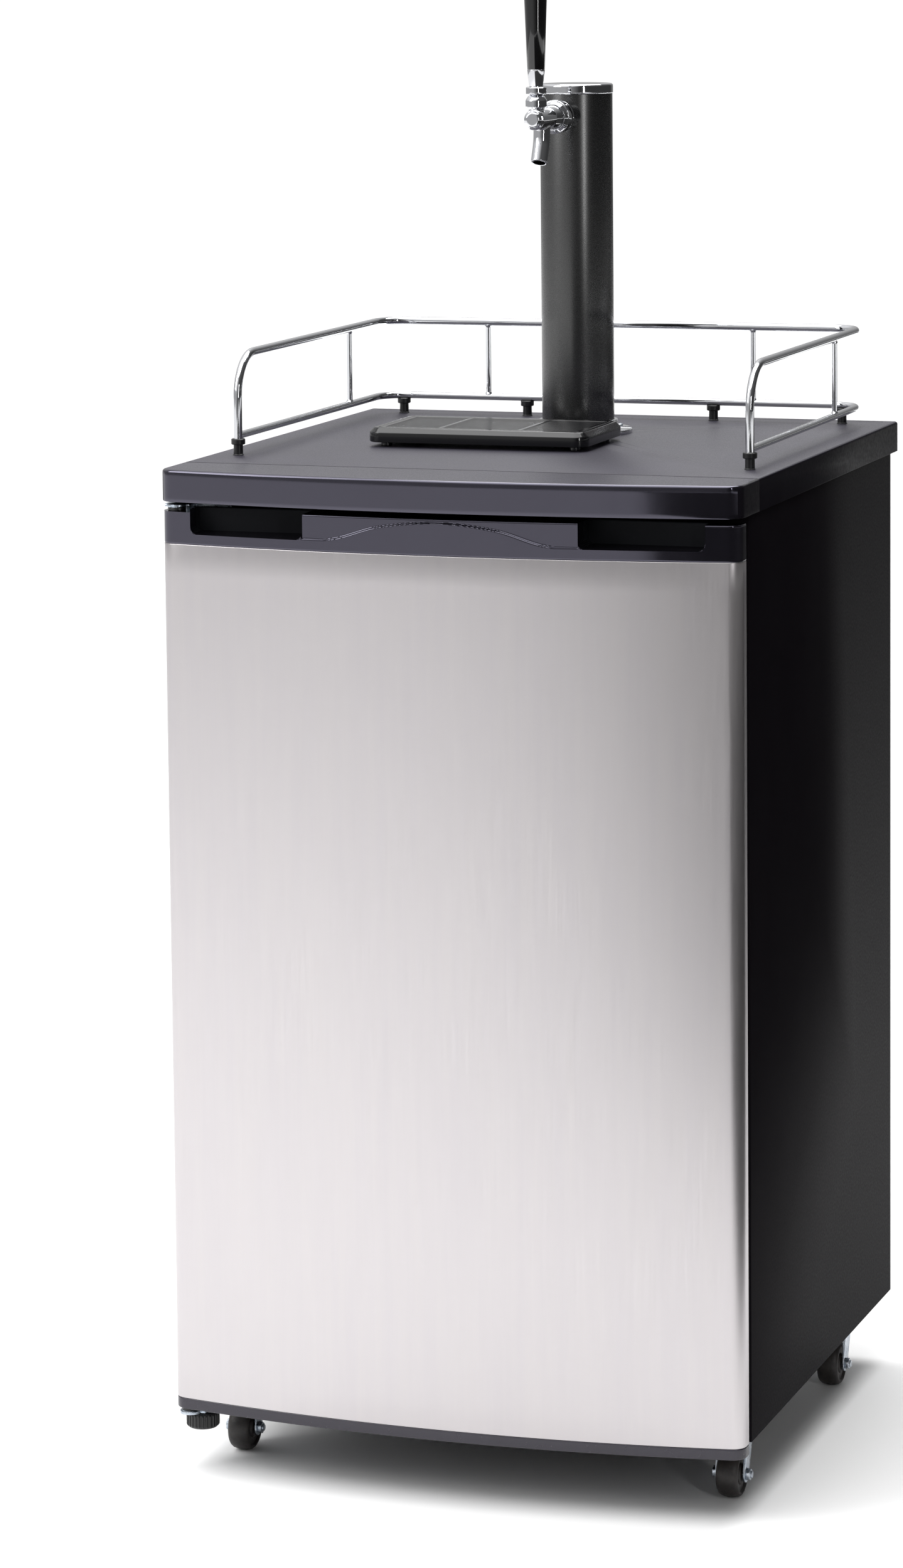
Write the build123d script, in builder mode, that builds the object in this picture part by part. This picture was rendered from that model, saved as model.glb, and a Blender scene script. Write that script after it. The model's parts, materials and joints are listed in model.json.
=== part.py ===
from build123d import *
import os

os.makedirs("parts", exist_ok=True)

# Millimetres. X runs to the right, the door faces -Y, Z is up. The origin is on the floor,
# midway between the sides and midway between the front of the worktop's bow and its back edge.

# worktop
worktop_width = 500
worktop_depth = 545
worktop_thickness = 27
worktop_bow = 23
worktop_corner = 14
fascia_depth = 80
fascia_wall = 3
fascia_skin = 2.5
worktop_edge_fillet = 2.5
line_hole_radius = 19
back_groove_inset = 11
back_groove_width = 1.6
back_groove_depth = 0.6

# cabinet
cabinet_width = worktop_width - 3
cabinet_height = 764.5
wheel_radius = 20
fork_top = wheel_radius + 35
cabinet_bottom = fork_top + 9.5
cabinet_back_overhang = 20
sheet = 1.0
front_return = 32
base_sheet = 1.5
side_wall = 38.5
ceiling_wall = 37
floor_wall = 38.5
back_wall = 45
liner_wall = 2.5
bay_depth = 160
bay_height = 171.5
bay_insulation = 30
port_radius = 6.5
port_wall = 3
port_rim = 5
port_rim_height = 3
port_x = cabinet_width / 2 - 68.5
port_z = cabinet_bottom + 227.5

# door
door_width = worktop_width - 1.4
door_lap = 2
door_thickness = 39.5
door_gap = 5
door_bottom_drop = 7.5
door_corner = 12
skin_sheet = 1.0
door_liner_wall = 2.5
door_plug_depth = 14
door_plug_margin = 12
gasket_width = 12
gasket_margin = 18
gasket_gap = 0.3
door_to_cabinet = 8.5
top_trim_height = 30
bottom_trim_height = 9.5
trim_wall = 3
trim_step = 2
wave_half_width = 100
wave_low = 9.5
wave_rise = 17
pocket_outer_x = door_width / 2 - 28.3
pocket_inner_x = pocket_outer_x - 103
pocket_depth_z = 21
pocket_corner = 6
hinge_notch = 3
hinge_notch_width = 28

# hinge
hinge_side = 11.3
hinge_setback = door_thickness - 6.5
hinge_pin_radius = 3
hinge_running = 0.06
bushing_radius = 5
bushing_flange_radius = 7.5
bushing_flange = 2.5
bracket_thickness = 2.5
bracket_half_width = 11
pin_reach = 14
screw_radius = 2.2
screw_head_radius = 4
screw_head = 1.6

# levelling foot
leveller_x = 13.5 - cabinet_width / 2
leveller_setback = 0.5
leveller_radius = 14.2
leveller_height = 14
leveller_bottom = cabinet_bottom - 30.5
leveller_ribs = 26
leveller_rib_radius = 1.0
stud_radius = 4
stud_above_foot = 15.5
thread_clearance = 0.08

# casters
caster_x = cabinet_width / 2 - 31.5
caster_front_y = 122.5 - worktop_depth / 2
caster_back_y = worktop_depth / 2 - 92.5
caster_trail = 18
wheel_width = 19
axle_radius = 3
fork_gap = 1.2
fork_sheet = 2
swivel_radius = 15
kingpin_radius = 4
caster_plate_side = 40
caster_plate_thickness = 2.5
running = 0.06

# guard rail
rail_radius = 3.6
lower_rail_radius = 3.1
post_radius = 2.4
rail_side_x = worktop_width / 2 - 25
rail_front_y = 141 - worktop_depth / 2
rail_back_y = worktop_depth / 2 - 32
rail_rise = 85
lower_rail_rise = 16.5
rail_front_bend = 40
rail_plan_bend = 26
side_post_y = worktop_depth / 2 - 127.5
back_post_x = rail_side_x - 100
rear_foot_x = (18 - rail_side_x, -88, 88, rail_side_x - 18)
foot_ring_radius = 6
foot_ring_height = 5
foot_stem_radius = 4
foot_stem_height = 10

# tower
tower_y = worktop_depth / 2 - 157
tower_radius = 31.75
tower_wall = 1.5
tower_height = 303
tower_cap_height = 8.5
tower_cap_skirt = 3
flange_radius = tower_radius + 15.85
flange_height = 12
flange_base = 4
flange_screw_circle = tower_radius + 8.25

# faucet
faucet_rise = 280
barrel_radius = 9
barrel_back_y = tower_y - tower_radius - 31.75
faucet_y = barrel_back_y - 50
plug_radius = 6.8
plug_front_y = faucet_y - 12
neck_radius = 6.5
pivot_above_bore = 13
bonnet_radius = 9.2
bonnet_height = 5.7
dome_radius = 9.7
collar_radius = 8.8
collar_gap = 0.5
collar_bottom = 21.3
collar_height = 6.5
ferrule_height = 15
ferrule_low_radius = 5.9
ferrule_high_radius = 7.6
handle_height = 65
handle_low_radius = 7.6
handle_high_radius = 9.9
ball_radius = 4.6
lever_radius = 2.4
lever_arm = 11
lever_tip_radius = 1.9
valve_radius = 3
valve_seal_radius = 6
spout_radius = 7.3
spout_bore = 5.4
spout_tip_y = faucet_y + 6.8
spout_knee_y = faucet_y + 14.5
spout_knee_drop = 20
spout_drop = 37.4
coupling_radius = 14.6
coupling_length = 15
shank_radius = 11
shank_bore = 4
shank_flange_radius = 14
beer_line_radius = 4.75
beer_line_bore = 2.4
beer_line_y = tower_y + 11.5
beer_line_drop = 16

# drip tray
tray_x = -42
tray_width = 198
tray_depth = 112
tray_height = 12.6
tray_taper = 4
tray_corner = 12
tray_wall = 2.5
tray_lip = 4
tray_foot_radius = 5
tray_foot_height = 4
tray_flange_gap = 1.4
grille_thickness = 2.5
grille_slot = 3
grille_pitch = 7
grille_clearance = 0.3

# inside
evaporator_width = cabinet_width - 157
evaporator_height = cabinet_height - 444.5
evaporator_sheet = 1.5
evaporator_gap = 3
evaporator_above_step = 90
evaporator_runs = 7
evaporator_margin = 34
evaporator_channel = 8
evaporator_relief = 2.2
evaporator_stud_radius = 5
thermostat_width = 28
thermostat_length = 70
thermostat_height = 52
thermostat_from_back = 167.5
thermostat_drop = 12
thermostat_edge = 4
knob_radius = 15
knob_height = 10
knob_notches = 18
knob_notch_radius = 1.6
knob_pointer = (3, 24, 2)
floor_plate_thickness = 3
floor_plate_gap = 4
coil_tube_radius = 2.4
coil_half_width = cabinet_width / 2 - 68.5
coil_runs = 9
coil_pitch = (cabinet_height - 316.5) / (coil_runs - 1)
coil_top_gap = 44
coil_tail = 40
coil_gap = 6
clip_x = 120
clip_side = 14
compressor_radius = 62
compressor_x = -60
compressor_height = 98
compressor_lift = 12
compressor_plate = (170, 80, 3)
seam_lift = 62
seam_height = 5
seam_reach = 3
grommet_radius = 9
grommet_height = 10
grommet_spacing = (150, 60)
gland_radius = 9
gland_nose_radius = 6.5
gland_nose = 14
gland_base = 3
cord_radius = 3.6
gland_above_bay = 22

# levels and planes worked out from the sizes above
front_apex_y = -worktop_depth / 2
worktop_back_y = worktop_depth / 2
cabinet_back_y = worktop_back_y - cabinet_back_overhang
cabinet_half = cabinet_width / 2
cabinet_top = cabinet_bottom + cabinet_height
worktop_bottom = cabinet_top
worktop_top = worktop_bottom + worktop_thickness
door_apex_y = front_apex_y + door_lap
door_rear_y = door_apex_y + door_thickness + door_lap + 0.5
cabinet_front_y = door_rear_y + door_to_cabinet
front_sheet_y = cabinet_front_y + sheet
door_half = door_width / 2
door_top = cabinet_top - door_gap
door_bottom = cabinet_bottom - door_bottom_drop
skin_bottom = door_bottom + bottom_trim_height
skin_top = door_top - top_trim_height
liner_rear_y = door_rear_y - door_liner_wall
cavity_half = cabinet_half - side_wall
cavity_floor = cabinet_bottom + floor_wall
cavity_ceiling = cabinet_top - ceiling_wall
cavity_back_y = cabinet_back_y - back_wall
bay_front_y = cabinet_back_y - bay_depth
bay_top = cabinet_bottom + bay_height
hump_front_y = bay_front_y - bay_insulation
hump_top = bay_top + bay_insulation
hinge_x = -(door_half - hinge_side)
hinge_y = front_apex_y + hinge_setback
bore_z = worktop_top + faucet_rise
pivot_z = bore_z + pivot_above_bore
beer_line_end = cavity_ceiling - beer_line_drop
seam_y = front_apex_y + fascia_depth


def bow_radius(half_width, rise):
    return (half_width**2 + rise**2) / (2 * rise)


def bowed_outline(half_width, apex_y, back_y, corner, inset=0.0):
    """A plan outline with a bowed front and rounded front corners."""
    radius = bow_radius(half_width, worktop_bow) - inset
    centre_y = apex_y + bow_radius(half_width, worktop_bow)
    side = half_width - inset
    corner_y = centre_y - (radius**2 - side**2) ** 0.5
    with BuildSketch(Plane.XY) as outline:
        with BuildLine():
            ThreePointArc((-side, corner_y), (0, apex_y + inset), (side, corner_y))
            Polyline((side, corner_y), (side, back_y), (-side, back_y), (-side, corner_y))
        make_face()
        fillet(outline.vertices().group_by(Axis.Y)[0], max(corner - inset, 0.5))
    return outline.sketch


def block(low, high, mode=Mode.ADD):
    """Draws a box between two corners inside the part it is called in."""
    size = [upper - lower for lower, upper in zip(low, high)]
    middle = tuple((lower + upper) / 2 for lower, upper in zip(low, high))
    with Locations(middle):
        Box(*size, mode=mode)


# ---------------------------------------------------------------- worktop
with BuildPart() as worktop_envelope:
    with BuildSketch(Plane.XY.offset(worktop_bottom)):
        add(bowed_outline(worktop_width / 2, front_apex_y, worktop_back_y, worktop_corner))
    extrude(amount=worktop_thickness)
    fillet(worktop_envelope.faces().sort_by(Axis.Z)[-1].edges(), worktop_edge_fillet)

with BuildPart() as worktop_tongue:
    with BuildSketch(Plane.XY.offset(worktop_bottom)):
        add(bowed_outline(worktop_width / 2, front_apex_y, seam_y, worktop_corner, fascia_wall))
    extrude(amount=worktop_thickness - fascia_skin)

with BuildPart() as worktop_fascia:
    add(worktop_envelope.part)
    with BuildSketch(Plane.XY.offset(worktop_bottom)):
        with Locations((0, (front_apex_y + seam_y) / 2)):
            Rectangle(worktop_width, seam_y - front_apex_y)
    extrude(amount=worktop_thickness, mode=Mode.INTERSECT)
    add(worktop_tongue.part, mode=Mode.SUBTRACT)

with BuildPart() as worktop_panel:
    add(worktop_envelope.part)
    add(worktop_fascia.part, mode=Mode.SUBTRACT)
    with BuildSketch(Plane.XY.offset(worktop_top)):
        with Locations((0, worktop_back_y - back_groove_inset)):
            Rectangle(worktop_width - 2 * back_groove_inset, back_groove_width)
    extrude(amount=-back_groove_depth, mode=Mode.SUBTRACT)
    with Locations((0, tower_y, worktop_top)):
        Hole(line_hole_radius, worktop_thickness)

# ---------------------------------------------------------------- cabinet
shell_inside = cabinet_half - sheet
with BuildPart() as cabinet_shell:
    block((-cabinet_half, cabinet_front_y, cabinet_bottom), (cabinet_half, cabinet_back_y, cabinet_top))
    block(
        (-shell_inside, front_sheet_y, cabinet_bottom),
        (shell_inside, cabinet_back_y, cabinet_top - sheet),
        Mode.SUBTRACT,
    )
    block(
        (front_return - cabinet_half, cabinet_front_y, cabinet_bottom + front_return),
        (cabinet_half - front_return, front_sheet_y, cabinet_top - front_return),
        Mode.SUBTRACT,
    )
    with Locations((0, tower_y, cabinet_top)):
        Hole(line_hole_radius, sheet)

with BuildPart() as cabinet_base_plate:
    block(
        (-shell_inside, front_sheet_y, cabinet_bottom),
        (shell_inside, cabinet_back_y, cabinet_bottom + base_sheet),
    )

base_top = cabinet_bottom + base_sheet
shell_ceiling = cabinet_top - sheet
with BuildPart() as cabinet_back_panel:
    with BuildSketch(Plane.YZ.offset(-shell_inside)):
        with BuildLine():
            Polyline(
                (bay_front_y - sheet, base_top),
                (bay_front_y, base_top),
                (bay_front_y, bay_top - sheet),
                (cabinet_back_y, bay_top - sheet),
                (cabinet_back_y, shell_ceiling),
                (cabinet_back_y - sheet, shell_ceiling),
                (cabinet_back_y - sheet, bay_top),
                (bay_front_y - sheet, bay_top),
                close=True,
            )
        make_face()
    extrude(amount=2 * shell_inside)
    with BuildSketch(Plane.XZ.offset(-cabinet_back_y)):
        with Locations((port_x, port_z)):
            Circle(port_radius + port_wall)
    extrude(amount=2 * sheet, both=True, mode=Mode.SUBTRACT)

liner_front_y = front_sheet_y + liner_wall


def liner_profile(grow):
    """Side profile of the cavity with the compressor step, grown outwards by a wall."""
    with BuildSketch(Plane.XY) as profile:
        with BuildLine():
            Polyline(
                (liner_front_y, cavity_floor - grow),
                (hump_front_y + grow, cavity_floor - grow),
                (hump_front_y + grow, hump_top - grow),
                (cavity_back_y + grow, hump_top - grow),
                (cavity_back_y + grow, cavity_ceiling + grow),
                (liner_front_y, cavity_ceiling + grow),
                close=True,
            )
        make_face()
    return profile.sketch


with BuildPart() as liner_outside:
    with BuildSketch(Plane.YZ.offset(-cavity_half - liner_wall)):
        add(liner_profile(liner_wall))
    extrude(amount=2 * (cavity_half + liner_wall))

with BuildPart() as cabinet_liner:
    add(liner_outside.part)
    block((-shell_inside, front_sheet_y, base_top), (shell_inside, liner_front_y, shell_ceiling))
    with BuildSketch(Plane.YZ.offset(-cavity_half)):
        add(liner_profile(0))
    extrude(amount=2 * cavity_half, mode=Mode.SUBTRACT)
    with BuildSketch(Plane.XZ.offset(-cabinet_front_y)):
        with Locations((0, (cavity_floor + cavity_ceiling) / 2)):
            Rectangle(2 * cavity_half, cavity_ceiling - cavity_floor)
    extrude(amount=-2 * liner_wall, mode=Mode.SUBTRACT)
    with Locations((0, tower_y, cavity_ceiling + liner_wall)):
        Hole(line_hole_radius, liner_wall)
    with BuildSketch(Plane.XZ.offset(-cavity_back_y)):
        with Locations((port_x, port_z)):
            Circle(port_radius + port_wall)
    extrude(amount=2 * liner_wall, both=True, mode=Mode.SUBTRACT)

with BuildPart() as insulation:
    block((-shell_inside, liner_front_y, base_top), (shell_inside, cabinet_back_y - sheet, shell_ceiling))
    add(liner_outside.part, mode=Mode.SUBTRACT)
    with BuildSketch(Plane.YZ.offset(-shell_inside)):
        with Locations(((bay_front_y + cabinet_back_y) / 2 - sheet / 2, (base_top + bay_top) / 2)):
            Rectangle(bay_depth + sheet, bay_top - base_top)
    extrude(amount=2 * shell_inside, mode=Mode.SUBTRACT)
    with Locations((0, tower_y, shell_ceiling)):
        Hole(line_hole_radius, ceiling_wall)
    with BuildSketch(Plane.XZ.offset(-cabinet_back_y)):
        with Locations((port_x, port_z)):
            Circle(port_radius + port_wall)
    extrude(amount=back_wall, mode=Mode.SUBTRACT)


def foam_wall(low, high):
    """The insulation between two corners, as one wall's slab."""
    with BuildPart() as slab:
        add(insulation.part)
        block(low, high, Mode.INTERSECT)
    return slab


foam_side = cavity_half + liner_wall
foam_back_y = cavity_back_y + liner_wall
foam_step_y = hump_front_y + liner_wall
foam_low = cavity_floor - liner_wall
foam_high = cavity_ceiling + liner_wall
foam_step = hump_top - liner_wall
foam_corners = (
    ((-cabinet_half, cabinet_front_y, cabinet_bottom), (-foam_side, cabinet_back_y, cabinet_top)),  # left
    ((foam_side, cabinet_front_y, cabinet_bottom), (cabinet_half, cabinet_back_y, cabinet_top)),  # right
    ((-foam_side, cabinet_front_y, foam_high), (foam_side, cabinet_back_y, cabinet_top)),  # ceiling
    ((-foam_side, foam_back_y, foam_step), (foam_side, cabinet_back_y, foam_high)),  # back
    ((-foam_side, cabinet_front_y, cabinet_bottom), (foam_side, foam_step_y, foam_low)),  # floor
    ((-foam_side, foam_step_y, cabinet_bottom), (foam_side, bay_front_y, foam_step)),  # riser of the step
    ((-foam_side, bay_front_y, cabinet_bottom), (foam_side, cabinet_back_y, foam_step)),  # shelf over the bay
)
foam_slabs = [foam_wall(low, high) for low, high in foam_corners]
# REPLACE keeps the slabs as separate solids that meet face to face
with BuildPart() as cabinet_foam:
    add([slab.part for slab in foam_slabs], clean=False, mode=Mode.REPLACE)

with BuildPart() as gas_port_bushing:
    with BuildSketch(Plane.XZ.offset(-cabinet_back_y)):
        with Locations((port_x, port_z)):
            Circle(port_radius + port_wall)
    extrude(amount=back_wall)
    with BuildSketch(Plane.XZ.offset(-cabinet_back_y)):
        with Locations((port_x, port_z)):
            Circle(port_radius + port_wall + port_rim)
    extrude(amount=-port_rim_height)
    with BuildSketch(Plane.XZ.offset(-cabinet_back_y - port_rim_height)):
        with Locations((port_x, port_z)):
            Circle(port_radius)
    extrude(amount=back_wall + 2 * port_rim_height, mode=Mode.SUBTRACT)

with BuildPart() as keg_floor_plate:
    block(
        (floor_plate_gap - cavity_half, liner_front_y + floor_plate_gap, cavity_floor),
        (cavity_half - floor_plate_gap, hump_front_y - floor_plate_gap, cavity_floor + floor_plate_thickness),
    )
    fillet(keg_floor_plate.edges().filter_by(Axis.Z), 12)

# ---------------------------------------------------------------- cooling
evaporator_z = hump_top + evaporator_above_step
evaporator_y = cavity_back_y - evaporator_gap - evaporator_sheet
evaporator_pitch = (evaporator_height - 2 * evaporator_margin) / (evaporator_runs - 1)
with BuildPart() as evaporator_plate:
    with BuildSketch(Plane.XZ.offset(-evaporator_y)):
        with Locations((0, evaporator_z + evaporator_height / 2)):
            RectangleRounded(evaporator_width, evaporator_height, 12)
    extrude(amount=-evaporator_sheet)
    with BuildSketch(Plane.XZ.offset(-evaporator_y)):
        for run in range(evaporator_runs):
            with Locations((0, evaporator_z + evaporator_margin + run * evaporator_pitch)):
                SlotOverall(evaporator_width - 50, evaporator_channel)
    extrude(amount=evaporator_relief)
    with BuildSketch(Plane.XZ.offset(evaporator_gap - cavity_back_y)):
        with Locations((0, evaporator_z + evaporator_height / 2)):
            with GridLocations(evaporator_width - 30, evaporator_height - 30, 2, 2):
                Circle(evaporator_stud_radius)
    extrude(amount=-evaporator_gap)

thermostat_top = cavity_ceiling - thermostat_drop
thermostat_y = cavity_back_y - thermostat_from_back
with BuildPart() as thermostat_housing:
    block(
        (cavity_half - thermostat_width, thermostat_y, thermostat_top - thermostat_height),
        (cavity_half, thermostat_y + thermostat_length, thermostat_top),
    )
    fillet(thermostat_housing.faces().sort_by(Axis.X)[0].edges(), thermostat_edge)

knob_middle = (thermostat_y + thermostat_length / 2, thermostat_top - thermostat_height / 2)
knob_plane = Plane(origin=(cavity_half - thermostat_width, *knob_middle), z_dir=(-1, 0, 0))
with BuildPart() as thermostat_knob:
    with BuildSketch(knob_plane.offset(0.3)):
        Circle(knob_radius)
        with PolarLocations(knob_radius + 0.6, knob_notches):
            Circle(knob_notch_radius, mode=Mode.SUBTRACT)
    extrude(amount=knob_height)
    with BuildSketch(knob_plane.offset(0.3 + knob_height)):
        Rectangle(knob_pointer[0], knob_pointer[1])
    extrude(amount=knob_pointer[2])

bay_middle_y = (bay_front_y + cabinet_back_y) / 2
with BuildPart() as compressor:
    with Locations((compressor_x, bay_middle_y, base_top + compressor_lift)):
        Cylinder(compressor_radius, compressor_height, align=(Align.CENTER, Align.CENTER, Align.MIN))
    fillet(compressor.faces().sort_by(Axis.Z)[-1].edges(), 30)
    fillet(compressor.faces().sort_by(Axis.Z)[0].edges(), 14)
    with Locations((compressor_x, bay_middle_y, base_top + seam_lift)):
        Cylinder(compressor_radius + seam_reach, seam_height)
    with Locations((compressor_x, bay_middle_y, base_top + grommet_height)):
        Box(*compressor_plate, align=(Align.CENTER, Align.CENTER, Align.MIN))

with BuildPart() as compressor_grommets:
    with Locations((compressor_x, bay_middle_y, base_top)):
        with GridLocations(*grommet_spacing, 2, 2):
            Cylinder(grommet_radius, grommet_height, align=(Align.CENTER, Align.CENTER, Align.MIN))

gland_plane = Plane(origin=(-port_x, cabinet_back_y, bay_top + gland_above_bay), z_dir=(0, 1, 0))
with BuildPart() as cord_gland:
    with BuildSketch(gland_plane):
        Circle(gland_radius)
    extrude(amount=gland_base)
    with BuildSketch(gland_plane.offset(gland_base)):
        Circle(gland_nose_radius)
    extrude(amount=gland_nose, taper=4)
    with BuildSketch(gland_plane):
        Circle(cord_radius)
    extrude(amount=gland_base + gland_nose, mode=Mode.SUBTRACT)

coil_y = cabinet_back_y + coil_gap + coil_tube_radius
coil_low = cabinet_top - coil_top_gap - (coil_runs - 1) * coil_pitch
with BuildPart() as condenser_coil:
    with BuildLine(Plane.XZ.offset(-coil_y)) as coil_path:
        coil_points = [(-coil_half_width, coil_low - coil_tail)]
        for run in range(coil_runs):
            side = -1 if run % 2 == 0 else 1
            coil_points.append((side * coil_half_width, coil_low + run * coil_pitch))
            coil_points.append((-side * coil_half_width, coil_low + run * coil_pitch))
        FilletPolyline(*coil_points, radius=coil_pitch / 2 - 1)
    with BuildSketch(Plane(origin=coil_path.line @ 0, z_dir=coil_path.line % 0)):
        Circle(coil_tube_radius)
    sweep()

with BuildPart() as condenser_clips:
    for clip_run in (1, coil_runs - 2):
        with Locations((0, (cabinet_back_y + coil_y) / 2, coil_low + clip_run * coil_pitch)):
            with GridLocations(2 * clip_x, 1, 2, 1):
                Box(clip_side, coil_y - cabinet_back_y, clip_side)
    add(condenser_coil.part, mode=Mode.SUBTRACT)

# ---------------------------------------------------------------- door
with BuildPart() as door_steel_panel:
    with BuildSketch(Plane.XY.offset(skin_bottom)):
        add(bowed_outline(door_half, door_apex_y, liner_rear_y, door_corner))
    extrude(amount=skin_top - skin_bottom)
    with BuildSketch(Plane.XY.offset(skin_bottom)):
        add(bowed_outline(door_half, door_apex_y, liner_rear_y + 1, door_corner, skin_sheet))
    extrude(amount=skin_top - skin_bottom, mode=Mode.SUBTRACT)

pocket_wall_y = liner_rear_y - trim_wall
pocket_middle_x = (pocket_inner_x + pocket_outer_x) / 2


def pocket_shape(grow):
    """Draws both finger pockets in elevation, with a wall round them if they are grown."""
    with Locations(*[(side * pocket_middle_x, door_top - pocket_depth_z / 2 + 5) for side in (-1, 1)]):
        RectangleRounded(
            pocket_outer_x - pocket_inner_x + 2 * grow, pocket_depth_z + 10 + 2 * grow, pocket_corner + grow
        )


wave_base = skin_top + wave_low
with BuildPart() as wave_recess:
    with BuildSketch(Plane.XY.offset(skin_top)):
        add(bowed_outline(door_half, door_apex_y, liner_rear_y, door_corner))
    extrude(amount=top_trim_height)
    with BuildSketch(Plane.XY.offset(skin_top)):
        add(bowed_outline(door_half, door_apex_y, liner_rear_y + 1, door_corner, trim_step))
    extrude(amount=top_trim_height, mode=Mode.SUBTRACT)
    with BuildSketch(Plane.XZ.offset(-liner_rear_y)):
        with BuildLine():
            Spline(
                (-wave_half_width, wave_base),
                (-wave_half_width / 2, wave_base + wave_rise * 0.72),
                (0, wave_base + wave_rise),
                (wave_half_width / 2, wave_base + wave_rise * 0.72),
                (wave_half_width, wave_base),
                tangents=((1, 0), (1, 0)),
            )
            Polyline(
                (wave_half_width, wave_base),
                (pocket_inner_x, wave_base),
                (pocket_inner_x, door_top + 1),
                (-pocket_inner_x, door_top + 1),
                (-pocket_inner_x, wave_base),
                (-wave_half_width, wave_base),
            )
        make_face()
    extrude(amount=door_thickness + worktop_bow, mode=Mode.INTERSECT)

with BuildPart() as trim_cavity:
    with BuildSketch(Plane.XY.offset(skin_top)):
        add(bowed_outline(door_half, door_apex_y, pocket_wall_y, door_corner, trim_wall + trim_step))
    extrude(amount=top_trim_height - trim_wall - hinge_notch)
    with BuildSketch(Plane.XZ.offset(-liner_rear_y)):
        pocket_shape(trim_wall)
    extrude(amount=door_thickness + worktop_bow, mode=Mode.SUBTRACT)
    with Locations((hinge_x, hinge_y, skin_top)):
        Cylinder(
            bushing_radius + trim_wall,
            top_trim_height,
            align=(Align.CENTER, Align.CENTER, Align.MIN),
            mode=Mode.SUBTRACT,
        )

notch_top = door_top - hinge_notch
with BuildPart() as door_top_trim:
    with BuildSketch(Plane.XY.offset(skin_top)):
        add(bowed_outline(door_half, door_apex_y, liner_rear_y, door_corner))
    extrude(amount=top_trim_height)
    add(wave_recess.part, mode=Mode.SUBTRACT)
    add(trim_cavity.part, mode=Mode.SUBTRACT)
    with BuildSketch(Plane.XZ.offset(-pocket_wall_y)):
        pocket_shape(0)
    extrude(amount=door_thickness + worktop_bow, mode=Mode.SUBTRACT)
    with BuildSketch(Plane.XY.offset(notch_top)):
        with Locations((-door_half + hinge_notch_width / 2, hinge_y)):
            Rectangle(hinge_notch_width, 2 * door_thickness)
    extrude(amount=hinge_notch, mode=Mode.SUBTRACT)
    with BuildSketch(Plane.XY.offset(notch_top)):
        with Locations((hinge_x, hinge_y)):
            Circle(bushing_radius)
    extrude(amount=-pin_reach - 1, mode=Mode.SUBTRACT)

with BuildPart() as door_bottom_trim:
    with BuildSketch(Plane.XY.offset(door_bottom)):
        add(bowed_outline(door_half, door_apex_y, liner_rear_y, door_corner))
    extrude(amount=bottom_trim_height)
    with BuildSketch(Plane.XY.offset(door_bottom)):
        with Locations((hinge_x, hinge_y)):
            Circle(bushing_radius)
    extrude(amount=bottom_trim_height - 0.5, mode=Mode.SUBTRACT)
    chamfer(door_bottom_trim.faces().sort_by(Axis.Z)[0].edges().group_by(Axis.Y)[0], 1)

plug_half = cavity_half - door_plug_margin
plug_low = cavity_floor + floor_plate_thickness + door_plug_margin
plug_high = cavity_ceiling - door_plug_margin
with BuildPart() as door_liner:
    block(
        (1 - door_half, liner_rear_y, door_bottom + 2),
        (door_half - 1, door_rear_y, door_top - hinge_notch - 1),
    )
    with BuildSketch(Plane.XZ.offset(-door_rear_y)):
        with Locations((0, (plug_low + plug_high) / 2)):
            RectangleRounded(2 * plug_half, plug_high - plug_low, 24)
    extrude(amount=-door_plug_depth, taper=12)
    with BuildSketch(Plane.XZ.offset(-liner_rear_y)):
        with Locations((0, (plug_low + plug_high) / 2)):
            RectangleRounded(2 * (plug_half - 3), plug_high - plug_low - 6, 22)
    extrude(amount=-door_plug_depth, taper=12, mode=Mode.SUBTRACT)

with BuildPart() as door_foam:
    with BuildSketch(Plane.XY.offset(skin_bottom)):
        add(bowed_outline(door_half, door_apex_y, liner_rear_y, door_corner, skin_sheet))
    extrude(amount=skin_top - skin_bottom)
    with BuildSketch(Plane.XZ.offset(-liner_rear_y)):
        with Locations((0, (plug_low + plug_high) / 2)):
            RectangleRounded(2 * (plug_half - 3), plug_high - plug_low - 6, 22)
    extrude(amount=-door_plug_depth, taper=12)

gasket_low = door_bottom + gasket_margin + 4
gasket_high = cabinet_top - sheet - gasket_margin
with BuildPart() as door_gasket:
    with BuildSketch(Plane.XZ.offset(-door_rear_y)):
        with Locations((0, (gasket_low + gasket_high) / 2)):
            RectangleRounded(2 * (door_half - gasket_margin), gasket_high - gasket_low, 5)
            RectangleRounded(
                2 * (door_half - gasket_margin - gasket_width),
                gasket_high - gasket_low - 2 * gasket_width,
                3,
                mode=Mode.SUBTRACT,
            )
    extrude(amount=-(door_to_cabinet - gasket_gap))
    chamfer(door_gasket.faces().sort_by(Axis.Y)[-1].edges(), 1.5)

with BuildPart() as door_hinge_bushings:
    for flange_z, way in ((notch_top, 1), (door_bottom, -1)):
        with BuildSketch(Plane.XY.offset(flange_z)):
            with Locations((hinge_x, hinge_y)):
                Circle(bushing_flange_radius)
        extrude(amount=way * bushing_flange)
        with BuildSketch(Plane.XY.offset(flange_z)):
            with Locations((hinge_x, hinge_y)):
                Circle(bushing_radius)
        extrude(amount=-way * (bottom_trim_height - 0.5))
        with BuildSketch(Plane.XY.offset(flange_z + way * bushing_flange)):
            with Locations((hinge_x, hinge_y)):
                Circle(hinge_pin_radius + hinge_running)
        extrude(amount=-way * (bottom_trim_height + bushing_flange), mode=Mode.SUBTRACT)

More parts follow.
